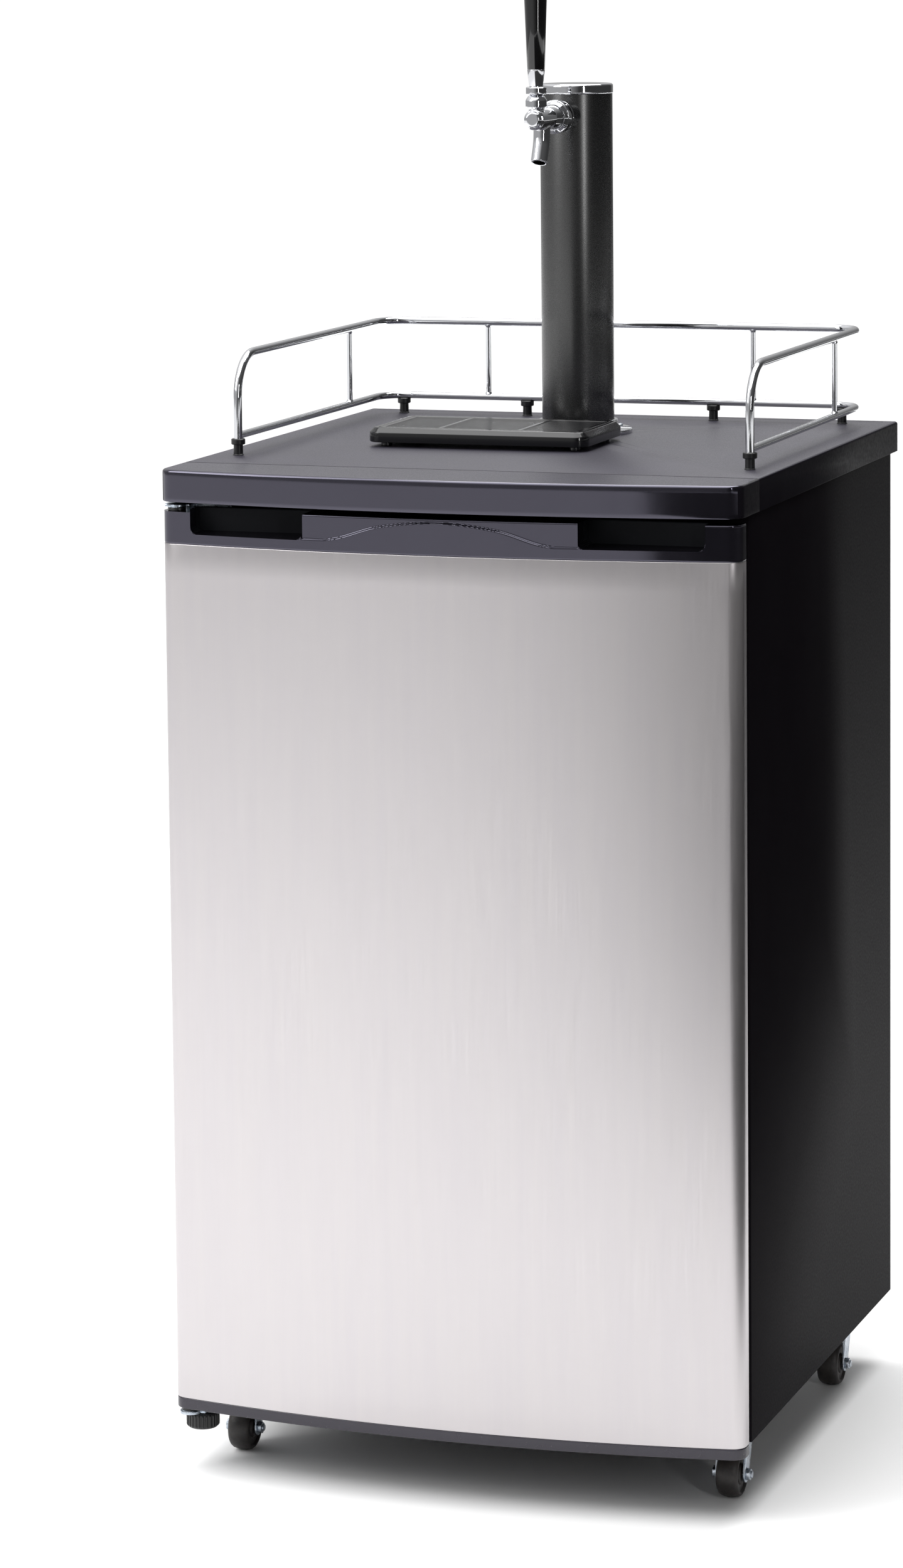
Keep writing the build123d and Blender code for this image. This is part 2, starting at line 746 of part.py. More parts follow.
# ---------------------------------------------------------------- hinges
pin_length = bottom_trim_height + bushing_flange - 1.5
top_tongue_low = notch_top + bushing_flange + 0.4
with BuildPart() as hinge_top_bracket:
    with BuildSketch(Plane.XY.offset(top_tongue_low)):
        with Locations((hinge_x, (hinge_y + cabinet_front_y) / 2)):
            Rectangle(2 * bracket_half_width, cabinet_front_y - hinge_y)
        with Locations((hinge_x, hinge_y)):
            Circle(bushing_flange_radius + 0.5)
    extrude(amount=bracket_thickness)
    block(
        (hinge_x - bracket_half_width, cabinet_front_y - bracket_thickness, top_tongue_low - 12),
        (hinge_x + 42, cabinet_front_y, top_tongue_low + bracket_thickness),
    )
    with Locations((hinge_x, hinge_y, top_tongue_low)):
        Cylinder(hinge_pin_radius, pin_length, align=(Align.CENTER, Align.CENTER, Align.MAX))

bottom_tongue_top = door_bottom - bushing_flange - 0.8
web_y = cabinet_front_y + 8
web_low_x = hinge_x - bracket_half_width + 2
with BuildPart() as hinge_bottom_bracket:
    with BuildSketch(Plane.XY.offset(bottom_tongue_top)):
        with Locations((hinge_x + 2, (hinge_y + web_y) / 2)):
            Rectangle(2 * bracket_half_width, web_y - hinge_y)
        with Locations((hinge_x, hinge_y)):
            Circle(bushing_flange_radius + 1.5)
    extrude(amount=-bracket_thickness)
    block(
        (web_low_x, web_y - bracket_thickness, bottom_tongue_top - bracket_thickness),
        (web_low_x + 2 * bracket_half_width, web_y, cabinet_bottom),
    )
    block(
        (web_low_x, web_y - bracket_thickness, cabinet_bottom - bracket_thickness),
        (hinge_x + 44, web_y + 18, cabinet_bottom),
    )
    with Locations((hinge_x, hinge_y, bottom_tongue_top)):
        Cylinder(hinge_pin_radius, pin_length, align=(Align.CENTER, Align.CENTER, Align.MIN))
        Cylinder(bushing_flange_radius, 0.5, align=(Align.CENTER, Align.CENTER, Align.MIN))
    with Locations((leveller_x, cabinet_front_y + leveller_setback, bottom_tongue_top)):
        Hole(stud_radius + thread_clearance, bracket_thickness)

with BuildPart() as screws:
    with BuildSketch(Plane.XY.offset(cabinet_bottom - bracket_thickness)):
        with Locations((hinge_x + 18, web_y + 9), (hinge_x + 36, web_y + 9)):
            Circle(screw_head_radius)
    extrude(amount=-screw_head)
    with BuildSketch(Plane.XZ.offset(-cabinet_front_y + bracket_thickness)):
        with Locations((hinge_x + 18, top_tongue_low - 5), (hinge_x + 34, top_tongue_low - 5)):
            Circle(screw_head_radius)
    extrude(amount=screw_head)
    with BuildSketch(Plane.XY.offset(worktop_top + flange_base)):
        with Locations((0, tower_y)):
            with PolarLocations(flange_screw_circle, 4, 45):
                Circle(screw_head_radius)
    extrude(amount=screw_head)

# ---------------------------------------------------------------- levelling foot
leveller_y = cabinet_front_y + leveller_setback
leveller_top = leveller_bottom + leveller_height
stud_length = leveller_height - 4 + stud_above_foot
with BuildPart() as leveller_foot:
    with BuildSketch(Plane.XY.offset(leveller_bottom)):
        with Locations((leveller_x, leveller_y)):
            Circle(leveller_radius)
            with PolarLocations(leveller_radius + 0.35, leveller_ribs):
                Circle(leveller_rib_radius, mode=Mode.SUBTRACT)
    extrude(amount=leveller_height)
    with Locations((leveller_x, leveller_y, leveller_top)):
        Hole(stud_radius + running, leveller_height - 4)

with BuildPart() as leveller_stud:
    with Locations((leveller_x, leveller_y, leveller_bottom + 4)):
        Cylinder(stud_radius, stud_length, align=(Align.CENTER, Align.CENTER, Align.MIN))

# ---------------------------------------------------------------- casters
caster_places = {
    "front_left": (-caster_x, caster_front_y),
    "front_right": (caster_x, caster_front_y),
    "back_left": (-caster_x, caster_back_y),
    "back_right": (caster_x, caster_back_y),
}
plate_low = cabinet_bottom - caster_plate_thickness
fork_half = wheel_width / 2 + fork_gap + fork_sheet
fork_low = fork_top - fork_sheet
with BuildPart() as caster_plates:
    with BuildSketch(Plane.XY.offset(plate_low)):
        with Locations(*caster_places.values()):
            RectangleRounded(caster_plate_side, caster_plate_side, 4)
    extrude(amount=caster_plate_thickness)
    with BuildSketch(Plane.XY.offset(plate_low)):
        with Locations(*caster_places.values()):
            Circle(swivel_radius - 2)
    extrude(amount=-(plate_low - fork_top - running))
    with BuildSketch(Plane.XY.offset(plate_low)):
        with Locations(*caster_places.values()):
            Circle(kingpin_radius)
    extrude(amount=-(plate_low - fork_low + 2.4))
    with BuildSketch(Plane.XY.offset(fork_low - 0.4)):
        with Locations(*caster_places.values()):
            Circle(kingpin_radius + 1.8)
    extrude(amount=-2)


caster_parts = {}
for place, (swivel_x, swivel_y) in caster_places.items():
    axle_y = swivel_y - caster_trail
    axle_plane = Plane(origin=(swivel_x - fork_half - running, axle_y, wheel_radius), z_dir=(1, 0, 0))
    axle_length = 2 * fork_half + 2 * running
    with BuildPart() as fork:
        with BuildSketch(Plane.XY.offset(fork_top)):
            with Locations((swivel_x, swivel_y)):
                Circle(swivel_radius)
            with Locations((swivel_x, swivel_y - swivel_radius / 2)):
                Rectangle(2 * fork_half, swivel_radius)
        extrude(amount=-fork_sheet)
        with BuildSketch(Plane.YZ.offset(swivel_x - fork_half)):
            with Locations((swivel_y - swivel_radius / 2, fork_low)):
                Rectangle(swivel_radius + 6, 2 * fork_sheet)
            with Locations((axle_y, wheel_radius)):
                Circle(axle_radius + 4)
            make_hull()
        extrude(amount=2 * fork_half)
        block(
            (swivel_x - fork_half + fork_sheet, axle_y - 3 * swivel_radius, 0),
            (swivel_x + fork_half - fork_sheet, swivel_y + swivel_radius, fork_low),
            mode=Mode.SUBTRACT,
        )
        with BuildSketch(Plane.XY.offset(fork_top)):
            with Locations((swivel_x, swivel_y)):
                Circle(kingpin_radius + running)
        extrude(amount=-2 * fork_sheet, mode=Mode.SUBTRACT)
        with BuildSketch(axle_plane):
            Circle(axle_radius + running)
        extrude(amount=axle_length, mode=Mode.SUBTRACT)
        with BuildSketch(axle_plane):
            Circle(axle_radius)
        extrude(amount=axle_length + 5)
        with BuildSketch(axle_plane):
            RegularPolygon(axle_radius + 2.2, 6)
        extrude(amount=-3.2)
        with BuildSketch(axle_plane.offset(axle_length)):
            RegularPolygon(axle_radius + 2.2, 6)
        extrude(amount=3.6)
    wheel_plane = Plane(origin=(swivel_x, axle_y, wheel_radius), x_dir=(1, 0, 0), z_dir=(0, -1, 0))
    half = wheel_width / 2
    with BuildPart() as wheel:
        with BuildSketch(wheel_plane):
            with BuildLine():
                Polyline(
                    (-half, wheel_radius - 3.5),
                    (-half + 2, wheel_radius - 5),
                    (-half + 2, axle_radius + 6),
                    (-half, axle_radius + 4.5),
                    (-half, axle_radius + running),
                    (half, axle_radius + running),
                    (half, axle_radius + 4.5),
                    (half - 2, axle_radius + 6),
                    (half - 2, wheel_radius - 5),
                    (half, wheel_radius - 3.5),
                )
                ThreePointArc((-half, wheel_radius - 3.5), (0, wheel_radius), (half, wheel_radius - 3.5))
            make_face()
        revolve(axis=Axis((swivel_x, axle_y, wheel_radius), (1, 0, 0)))
    caster_parts["caster_fork_" + place] = fork
    caster_parts["caster_wheel_" + place] = wheel

# ---------------------------------------------------------------- guard rail
rail_top_z = worktop_top + rail_rise
lower_rail_z = worktop_top + lower_rail_rise
ring_low = worktop_top + foot_stem_height


with BuildPart() as rail_top:
    with BuildLine() as top_route:
        FilletPolyline(
            (-rail_side_x, rail_front_y, ring_low),
            (-rail_side_x, rail_front_y, rail_top_z),
            (-rail_side_x, rail_back_y, rail_top_z),
            (rail_side_x, rail_back_y, rail_top_z),
            (rail_side_x, rail_front_y, rail_top_z),
            (rail_side_x, rail_front_y, ring_low),
            radius=[rail_front_bend, rail_plan_bend, rail_plan_bend, rail_front_bend],
        )
    with BuildSketch(Plane(origin=top_route.line @ 0, z_dir=top_route.line % 0)):
        Circle(rail_radius)
    sweep(path=top_route.line)

with BuildPart() as rail_lower:
    with BuildLine() as lower_route:
        FilletPolyline(
            (-rail_side_x, rail_front_y, lower_rail_z),
            (-rail_side_x, rail_back_y, lower_rail_z),
            (rail_side_x, rail_back_y, lower_rail_z),
            (rail_side_x, rail_front_y, lower_rail_z),
            radius=rail_plan_bend,
        )
    with BuildSketch(Plane(origin=lower_route.line @ 0, z_dir=lower_route.line % 0)):
        Circle(lower_rail_radius)
    sweep(path=lower_route.line)
    add(rail_top.part, mode=Mode.SUBTRACT)

with BuildPart() as rail_posts:
    with BuildSketch(Plane.XY.offset(lower_rail_z)):
        with Locations((-rail_side_x, side_post_y), (rail_side_x, side_post_y)):
            Circle(post_radius)
        with Locations((-back_post_x, rail_back_y), (back_post_x, rail_back_y)):
            Circle(post_radius)
    extrude(amount=rail_top_z - lower_rail_z)
    add(rail_top.part, mode=Mode.SUBTRACT)
    add(rail_lower.part, mode=Mode.SUBTRACT)

with BuildPart() as rail_feet:
    rear_feet = [(x, rail_back_y) for x in rear_foot_x]
    front_feet = [(-rail_side_x, rail_front_y), (rail_side_x, rail_front_y)]
    with BuildSketch(Plane.XY.offset(worktop_top)):
        with Locations(*rear_feet, *front_feet):
            Circle(foot_stem_radius)
    extrude(amount=foot_stem_height)
    with BuildSketch(Plane.XY.offset(ring_low - 1)):
        with Locations(*rear_feet, *front_feet):
            Circle(foot_ring_radius)
    extrude(amount=foot_ring_height)
    add(rail_top.part, mode=Mode.SUBTRACT)
    add(rail_lower.part, mode=Mode.SUBTRACT)

# ---------------------------------------------------------------- drip tray
tray_back_y = tower_y - flange_radius - tray_flange_gap
tray_y = tray_back_y - tray_depth / 2
tray_bottom = worktop_top + tray_foot_height
tray_top = tray_bottom + tray_height
tray_rim = (tray_width - 2 * tray_taper, tray_depth - 2 * tray_taper)
tray_opening = (tray_rim[0] - 2 * tray_lip, tray_rim[1] - 2 * tray_lip)
tray_hollow = (tray_opening[0] - 2 * tray_wall, tray_opening[1] - 2 * tray_wall)
grille_size = (tray_opening[0] - 2 * grille_clearance, tray_opening[1] - 2 * grille_clearance)
with BuildPart() as drip_tray:
    with BuildSketch(Plane.XY.offset(tray_bottom)):
        with Locations((tray_x, tray_y)):
            RectangleRounded(tray_width, tray_depth, tray_corner)
    extrude(amount=tray_height - tray_taper)
    chamfer(drip_tray.faces().sort_by(Axis.Z)[0].edges(), 1)
    with BuildSketch(Plane.XY.offset(tray_top - tray_taper)):
        with Locations((tray_x, tray_y)):
            RectangleRounded(tray_width, tray_depth, tray_corner)
    with BuildSketch(Plane.XY.offset(tray_top)):
        with Locations((tray_x, tray_y)):
            RectangleRounded(*tray_rim, tray_corner - tray_taper)
    loft()
    with BuildSketch(Plane.XY.offset(tray_top - grille_thickness)):
        with Locations((tray_x, tray_y)):
            RectangleRounded(*tray_opening, tray_corner - tray_taper - 2)
    extrude(amount=grille_thickness, mode=Mode.SUBTRACT)
    with BuildSketch(Plane.XY.offset(tray_bottom + tray_wall)):
        with Locations((tray_x, tray_y)):
            RectangleRounded(*tray_hollow, tray_corner - tray_taper - 3)
    extrude(amount=tray_height, mode=Mode.SUBTRACT)
    with BuildSketch(Plane.XY.offset(worktop_top)):
        with Locations((tray_x, tray_y)):
            with GridLocations(tray_width - 28, tray_depth - 28, 2, 2):
                Circle(tray_foot_radius)
    extrude(amount=tray_foot_height)

slot_length = (tray_opening[0] - 5 * tray_lip) / 2
slot_rows = int((tray_opening[1] - 3 * tray_lip) / grille_pitch)
with BuildPart() as drip_grille:
    with BuildSketch(Plane.XY.offset(tray_top - grille_thickness)):
        with Locations((tray_x, tray_y)):
            RectangleRounded(*grille_size, tray_corner - 6)
            with GridLocations(slot_length + 2 * tray_lip, grille_pitch, 2, slot_rows):
                SlotOverall(slot_length, grille_slot, mode=Mode.SUBTRACT)
    extrude(amount=grille_thickness)

# ---------------------------------------------------------------- tower
column_bottom = worktop_top + flange_base
column_top = column_bottom + tower_height - tower_cap_height
with BuildPart() as tower_column:
    with Locations((0, tower_y, column_bottom)):
        Cylinder(tower_radius, column_top - column_bottom, align=(Align.CENTER, Align.CENTER, Align.MIN))
        Cylinder(
            tower_radius - tower_wall,
            column_top - column_bottom,
            align=(Align.CENTER, Align.CENTER, Align.MIN),
            mode=Mode.SUBTRACT,
        )
    with BuildSketch(Plane.XZ.offset(-tower_y)):
        with Locations((0, bore_z)):
            Circle(shank_radius)
    extrude(amount=2 * tower_radius, mode=Mode.SUBTRACT)

with BuildPart() as tower_cap:
    with Locations((0, tower_y, column_top)):
        Cylinder(tower_radius + 0.6, tower_cap_height, align=(Align.CENTER, Align.CENTER, Align.MIN))
    fillet(tower_cap.faces().sort_by(Axis.Z)[-1].edges(), 2)
    with Locations((0, tower_y, column_top)):
        Cylinder(tower_radius - tower_wall, tower_cap_skirt, align=(Align.CENTER, Align.CENTER, Align.MAX))
        Cylinder(
            tower_radius - tower_wall - 2,
            tower_cap_skirt,
            align=(Align.CENTER, Align.CENTER, Align.MAX),
            mode=Mode.SUBTRACT,
        )

with BuildPart() as tower_flange:
    with Locations((0, tower_y, worktop_top)):
        Cylinder(flange_radius, flange_base, align=(Align.CENTER, Align.CENTER, Align.MIN))
    fillet(tower_flange.faces().sort_by(Axis.Z)[-1].edges(), 1.5)
    with Locations((0, tower_y, worktop_top)):
        Cylinder(tower_radius + 3, flange_height, align=(Align.CENTER, Align.CENTER, Align.MIN))
    fillet(tower_flange.faces().sort_by(Axis.Z)[-1].edges(), 2)
    with Locations((0, tower_y, column_bottom)):
        Cylinder(tower_radius, flange_height, align=(Align.CENTER, Align.CENTER, Align.MIN), mode=Mode.SUBTRACT)
    with Locations((0, tower_y, column_bottom)):
        Hole(line_hole_radius, flange_height)

# ---------------------------------------------------------------- faucet
barrel_bore = valve_radius + 1.5
seal_y = barrel_back_y - 10
bore_plane = Plane(origin=(0, 0, bore_z), x_dir=(0, 1, 0), z_dir=(1, 0, 0))
bore_axis = Axis((0, 0, bore_z), (0, 1, 0))


def turning(steps):
    """Half section of a turned piece from a list of (y, radius) steps along the bore."""
    with BuildSketch(Plane.XY) as section:
        with BuildLine():
            Polyline((steps[0][0], 0), *steps, (steps[-1][0], 0), close=True)
        make_face()
    return section.sketch


def bored(y_from, y_to, radius):
    """Bores the faucet along its axis, inside the part it is called in."""
    with Locations(Location((0, (y_from + y_to) / 2, bore_z), (90, 0, 0))):
        Cylinder(radius, y_to - y_from, mode=Mode.SUBTRACT)


def upright(radius, low, high, mode=Mode.ADD):
    """A round shank on the lever's axis between two heights."""
    with Locations((0, faucet_y, low)):
        Cylinder(radius, high - low, align=(Align.CENTER, Align.CENTER, Align.MIN), mode=mode)


bonnet_low = bore_z + 11.3
barrel_steps = [
    (plug_front_y, plug_radius - 1),
    (plug_front_y + 1, plug_radius),
    (plug_front_y + 4, plug_radius),
    (plug_front_y + 5, barrel_radius),
    (barrel_back_y - 20, barrel_radius),
    (barrel_back_y - 8, barrel_radius + 1.5),
    (barrel_back_y - 4, barrel_radius + 1.5),
    (barrel_back_y - 4, barrel_radius + 3),
    (barrel_back_y, barrel_radius + 3),
]
with BuildPart() as faucet_body:
    with BuildSketch(bore_plane):
        add(turning(barrel_steps))
    revolve(axis=bore_axis)
    upright(neck_radius, bore_z, bonnet_low)
    with BuildLine() as spout_route:
        FilletPolyline(
            (0, spout_knee_y + 1.5, bore_z),
            (0, spout_knee_y, bore_z - spout_knee_drop),
            (0, spout_tip_y, bore_z - spout_drop),
            radius=24,
        )
    with BuildSketch(Plane(origin=spout_route.line @ 0, z_dir=spout_route.line % 0)):
        Circle(spout_radius)
    sweep(path=spout_route.line)
    with BuildSketch(Plane(origin=spout_route.line @ 0, z_dir=spout_route.line % 0)):
        Circle(spout_bore)
    sweep(path=spout_route.line, mode=Mode.SUBTRACT)
    bored(plug_front_y + 4, seal_y + 0.01, barrel_bore)
    bored(seal_y, barrel_back_y, valve_seal_radius + 1)
    upright(neck_radius - 1.3, bore_z, bonnet_low, Mode.SUBTRACT)
    block((-3.2, faucet_y - 3.2, bore_z), (3.2, faucet_y + 7.5, bore_z + 7.5), mode=Mode.SUBTRACT)

with BuildPart() as faucet_bonnet:
    upright(bonnet_radius, bonnet_low, bonnet_low + bonnet_height)
    with Locations((0, faucet_y, pivot_z)):
        Sphere(dome_radius)
    with Locations((0, faucet_y, bonnet_low)):
        Cylinder(
            2 * dome_radius, 2 * dome_radius, align=(Align.CENTER, Align.CENTER, Align.MAX), mode=Mode.SUBTRACT
        )
    with BuildSketch(Plane.XY.offset(bonnet_low)):
        with Locations((0, faucet_y)):
            Circle(4 * bonnet_radius)
            Circle(bonnet_radius, mode=Mode.SUBTRACT)
    extrude(amount=2 * dome_radius, mode=Mode.SUBTRACT)
    with Locations((0, faucet_y, pivot_z)):
        Sphere(ball_radius + running, mode=Mode.SUBTRACT)
    upright(ball_radius + running, bonnet_low, pivot_z, Mode.SUBTRACT)
    block((-3, faucet_y - 7.6, pivot_z), (3, faucet_y + 3, pivot_z + 2 * dome_radius), mode=Mode.SUBTRACT)

ferrule_low = bore_z + collar_bottom + collar_height
with BuildPart() as faucet_lever:
    upright(lever_radius, pivot_z, ferrule_low + 8)
    with Locations((0, faucet_y, pivot_z)):
        Sphere(ball_radius)
    upright(lever_tip_radius, pivot_z - lever_arm, pivot_z)
    with Locations((0, faucet_y, pivot_z - lever_arm)):
        Sphere(lever_tip_radius)

with BuildPart() as lever_collar:
    upright(collar_radius, bore_z + collar_bottom, ferrule_low)
    chamfer(lever_collar.edges().filter_by(GeomType.CIRCLE), 0.6)
    with Locations((0, faucet_y, pivot_z)):
        Sphere(dome_radius + collar_gap, mode=Mode.SUBTRACT)
    upright(lever_radius, pivot_z, ferrule_low, Mode.SUBTRACT)

handle_low = ferrule_low + ferrule_height
with BuildPart() as handle_ferrule:
    with BuildSketch(Plane.XY.offset(ferrule_low)):
        with Locations((0, faucet_y)):
            Circle(ferrule_low_radius)
    with BuildSketch(Plane.XY.offset(handle_low)):
        with Locations((0, faucet_y)):
            Circle(ferrule_high_radius)
    loft()
    upright(lever_radius, ferrule_low, ferrule_low + 8, Mode.SUBTRACT)

handle_top = handle_low + handle_height
with BuildPart() as tap_handle:
    with BuildSketch(Plane.YZ):
        with BuildLine():
            Polyline(
                (faucet_y, handle_top), (faucet_y, handle_low), (faucet_y + handle_low_radius, handle_low)
            )
            Line(
                (faucet_y + handle_low_radius, handle_low), (faucet_y + handle_high_radius, handle_top - 6)
            )
            ThreePointArc(
                (faucet_y + handle_high_radius, handle_top - 6),
                (faucet_y + handle_high_radius - 2.2, handle_top - 1.6),
                (faucet_y + handle_high_radius - 5.5, handle_top),
            )
            Line((faucet_y + handle_high_radius - 5.5, handle_top), (faucet_y, handle_top))
        make_face()
    revolve(axis=Axis((0, faucet_y, 0), (0, 0, 1)))

valve_steps = [
    (faucet_y - 5, valve_radius),
    (seal_y, valve_radius),
    (seal_y, valve_seal_radius),
    (seal_y + 3, valve_seal_radius),
]
with BuildPart() as valve_shaft:
    with BuildSketch(bore_plane):
        add(turning(valve_steps))
    revolve(axis=bore_axis)
    block((-4, faucet_y - 2.6, bore_z - 1.4), (4, faucet_y + 2.6, bore_z + 4), mode=Mode.SUBTRACT)

nut_front_y = barrel_back_y - 6
nut_steps = [
    (nut_front_y, coupling_radius - 3.2),
    (nut_front_y + 3, coupling_radius - 1.2),
    (nut_front_y + 3, coupling_radius),
    (nut_front_y + coupling_length - 1, coupling_radius),
    (nut_front_y + coupling_length, coupling_radius - 1),
]
with BuildPart() as coupling_nut:
    with BuildSketch(bore_plane):
        add(turning(nut_steps))
    revolve(axis=bore_axis)
    bored(nut_front_y, barrel_back_y, barrel_radius + 1.6)
    bored(barrel_back_y - 4, barrel_back_y, barrel_radius + 3)
    bored(barrel_back_y, nut_front_y + coupling_length, shank_radius)

tower_front_y = tower_y - tower_radius
shank_back_y = tower_front_y + 26
with BuildPart() as faucet_shank:
    with BuildSketch(bore_plane):
        add(turning([(barrel_back_y, shank_radius), (shank_back_y, shank_radius)]))
    revolve(axis=bore_axis)
    bored(barrel_back_y, barrel_back_y + 8, valve_seal_radius + 1)
    bored(barrel_back_y, shank_back_y, shank_bore)

flange_front_y = nut_front_y + coupling_length + 2
flange_steps = [
    (flange_front_y, shank_flange_radius - 1),
    (flange_front_y + 1, shank_flange_radius),
    (flange_front_y + 4, shank_flange_radius),
    (flange_front_y + 7, shank_radius + 2),
    (tower_y, shank_radius + 2),
]
with BuildPart() as shank_flange:
    with BuildSketch(bore_plane):
        add(turning(flange_steps))
    revolve(axis=bore_axis)
    bored(flange_front_y, tower_y, shank_radius)
    with Locations((0, tower_y, bore_z)):
        Cylinder(tower_radius, 4 * shank_flange_radius, mode=Mode.SUBTRACT)

with BuildPart() as shank_locknut:
    with BuildSketch(Plane(origin=(0, tower_front_y + 6, bore_z), z_dir=(0, 1, 0))):
        RegularPolygon(shank_radius + 4, 6)
        Circle(shank_radius, mode=Mode.SUBTRACT)
    extrude(amount=6)

# ---------------------------------------------------------------- beer line held in the tower
with BuildPart() as beer_line:
    with BuildLine() as line_route:
        FilletPolyline(
            (0, shank_back_y, bore_z), (0, beer_line_y, bore_z), (0, beer_line_y, beer_line_end), radius=14
        )
    with BuildSketch(Plane(origin=line_route.line @ 0, z_dir=line_route.line % 0)):
        Circle(beer_line_radius)
        Circle(beer_line_bore, mode=Mode.SUBTRACT)
    sweep(path=line_route.line)

with BuildPart() as beer_line_nut:
    with BuildSketch(Plane.XY.offset(beer_line_end)):
        with Locations((0, beer_line_y)):
            RegularPolygon(13, 6)
    extrude(amount=-16)
    with BuildSketch(Plane.XY.offset(beer_line_end)):
        with Locations((0, beer_line_y)):
            Circle(beer_line_bore)
    extrude(amount=-16, mode=Mode.SUBTRACT)

pieces = {
    "worktop_panel": worktop_panel,
    "worktop_fascia": worktop_fascia,
    "cabinet_shell": cabinet_shell,
    "cabinet_base_plate": cabinet_base_plate,
    "cabinet_back_panel": cabinet_back_panel,
    "cabinet_liner": cabinet_liner,
    "cabinet_foam": cabinet_foam,
    "gas_port_bushing": gas_port_bushing,
    "keg_floor_plate": keg_floor_plate,
    "evaporator_plate": evaporator_plate,
    "thermostat_housing": thermostat_housing,
    "thermostat_knob": thermostat_knob,
    "compressor": compressor,
    "compressor_grommets": compressor_grommets,
    "cord_gland": cord_gland,
    "condenser_coil": condenser_coil,
    "condenser_clips": condenser_clips,
    "door_steel_panel": door_steel_panel,
    "door_top_trim": door_top_trim,
    "door_bottom_trim": door_bottom_trim,
    "door_liner": door_liner,
    "door_foam": door_foam,
    "door_gasket": door_gasket,
    "door_hinge_bushings": door_hinge_bushings,
    "hinge_top_bracket": hinge_top_bracket,
    "hinge_bottom_bracket": hinge_bottom_bracket,
    "screws": screws,
    "leveller_stud": leveller_stud,
    "leveller_foot": leveller_foot,
    "caster_plates": caster_plates,
    **caster_parts,
    "rail_top": rail_top,
    "rail_lower": rail_lower,
    "rail_posts": rail_posts,
    "rail_feet": rail_feet,
    "drip_tray": drip_tray,
    "drip_grille": drip_grille,
    "tower_column": tower_column,
    "tower_cap": tower_cap,
    "tower_flange": tower_flange,
    "faucet_body": faucet_body,
    "faucet_bonnet": faucet_bonnet,
    "faucet_lever": faucet_lever,
    "lever_collar": lever_collar,
    "handle_ferrule": handle_ferrule,
    "tap_handle": tap_handle,
    "valve_shaft": valve_shaft,
    "coupling_nut": coupling_nut,
    "faucet_shank": faucet_shank,
    "shank_flange": shank_flange,
    "shank_locknut": shank_locknut,
    "beer_line": beer_line,
    "beer_line_nut": beer_line_nut,
}
for name, piece in pieces.items():
    piece.part.label = name
    export_step(piece.part, f"parts/{name}.step")
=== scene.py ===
import json
import math

import bmesh
import bpy
from mathutils import Matrix, Vector


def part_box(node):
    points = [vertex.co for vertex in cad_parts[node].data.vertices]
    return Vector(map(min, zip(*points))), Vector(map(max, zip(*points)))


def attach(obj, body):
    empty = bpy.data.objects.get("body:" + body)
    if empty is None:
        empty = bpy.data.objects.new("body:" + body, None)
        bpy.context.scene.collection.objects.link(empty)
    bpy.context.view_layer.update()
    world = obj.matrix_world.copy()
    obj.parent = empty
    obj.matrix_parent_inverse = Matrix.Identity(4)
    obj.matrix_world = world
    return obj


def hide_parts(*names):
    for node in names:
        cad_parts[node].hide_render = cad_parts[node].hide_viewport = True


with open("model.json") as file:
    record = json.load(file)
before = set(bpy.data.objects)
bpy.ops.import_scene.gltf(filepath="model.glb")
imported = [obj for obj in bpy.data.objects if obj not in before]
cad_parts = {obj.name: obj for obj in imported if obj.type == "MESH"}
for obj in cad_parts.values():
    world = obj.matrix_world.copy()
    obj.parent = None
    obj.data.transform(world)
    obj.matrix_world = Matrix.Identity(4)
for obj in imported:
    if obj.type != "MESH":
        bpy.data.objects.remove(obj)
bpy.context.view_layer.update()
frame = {"nodes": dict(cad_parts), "record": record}

mm = 0.001
record = frame["record"]
bodyOf = {node: body for body, nodes in record["behaviour"]["bodies"].items() for node in nodes}
slotOf = {part["node"]: part["material_slot"] for part in record["subparts"]}
across, along, up = Vector((1, 0, 0)), Vector((0, 1, 0)), Vector((0, 0, 1))
print("frame loaded:", len(bodyOf), "nodes")


def hexColour(code):
    channels = [int(code[i:i + 2], 16) / 255 for i in (1, 3, 5)]
    return (*[c / 12.92 if c <= 0.04045 else ((c + 0.055) / 1.055) ** 2.4 for c in channels], 1.0)


def addNode(tree, kind, inputs=None, **settings):
    node = tree.nodes.new(kind)
    for name, value in settings.items():
        setattr(node, name, value)
    for name, value in (inputs or {}).items():
        if isinstance(value, bpy.types.NodeSocket):
            tree.links.new(value, node.inputs[name])
        else:
            node.inputs[name].default_value = value
    return node


def middle(node):
    low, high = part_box(node)
    return (low + high) / 2


def roundPath(corners, radii, closed=False, steps=6):
    # a run of points whose corners are turned into arcs
    points = [Vector(corner).to_3d() for corner in corners]
    if not isinstance(radii, (list, tuple)):
        radii = [radii] * len(points)
    path = []
    for i, corner in enumerate(points):
        ends = not closed and i in (0, len(points) - 1)
        before = points[i - 1] - corner
        after = points[(i + 1) % len(points)] - corner
        if ends or radii[i] <= 0 or before.angle(after) > math.pi - 1e-4:
            path.append(corner)
            continue
        inside = before.angle(after)
        reach = min(radii[i] / math.tan(inside / 2), 0.499 * min(before.length, after.length))
        radius = reach * math.tan(inside / 2)
        start = corner + before.normalized() * reach
        end = corner + after.normalized() * reach
        halfway = (before.normalized() + after.normalized()).normalized()
        centre = corner + halfway * (radius / math.sin(inside / 2))
        axis = (start - centre).cross(end - centre).normalized()
        for step in range(steps + 1):
            turn = Matrix.Rotation((math.pi - inside) * step / steps, 3, axis)
            path.append(centre + turn @ (start - centre))
    return path


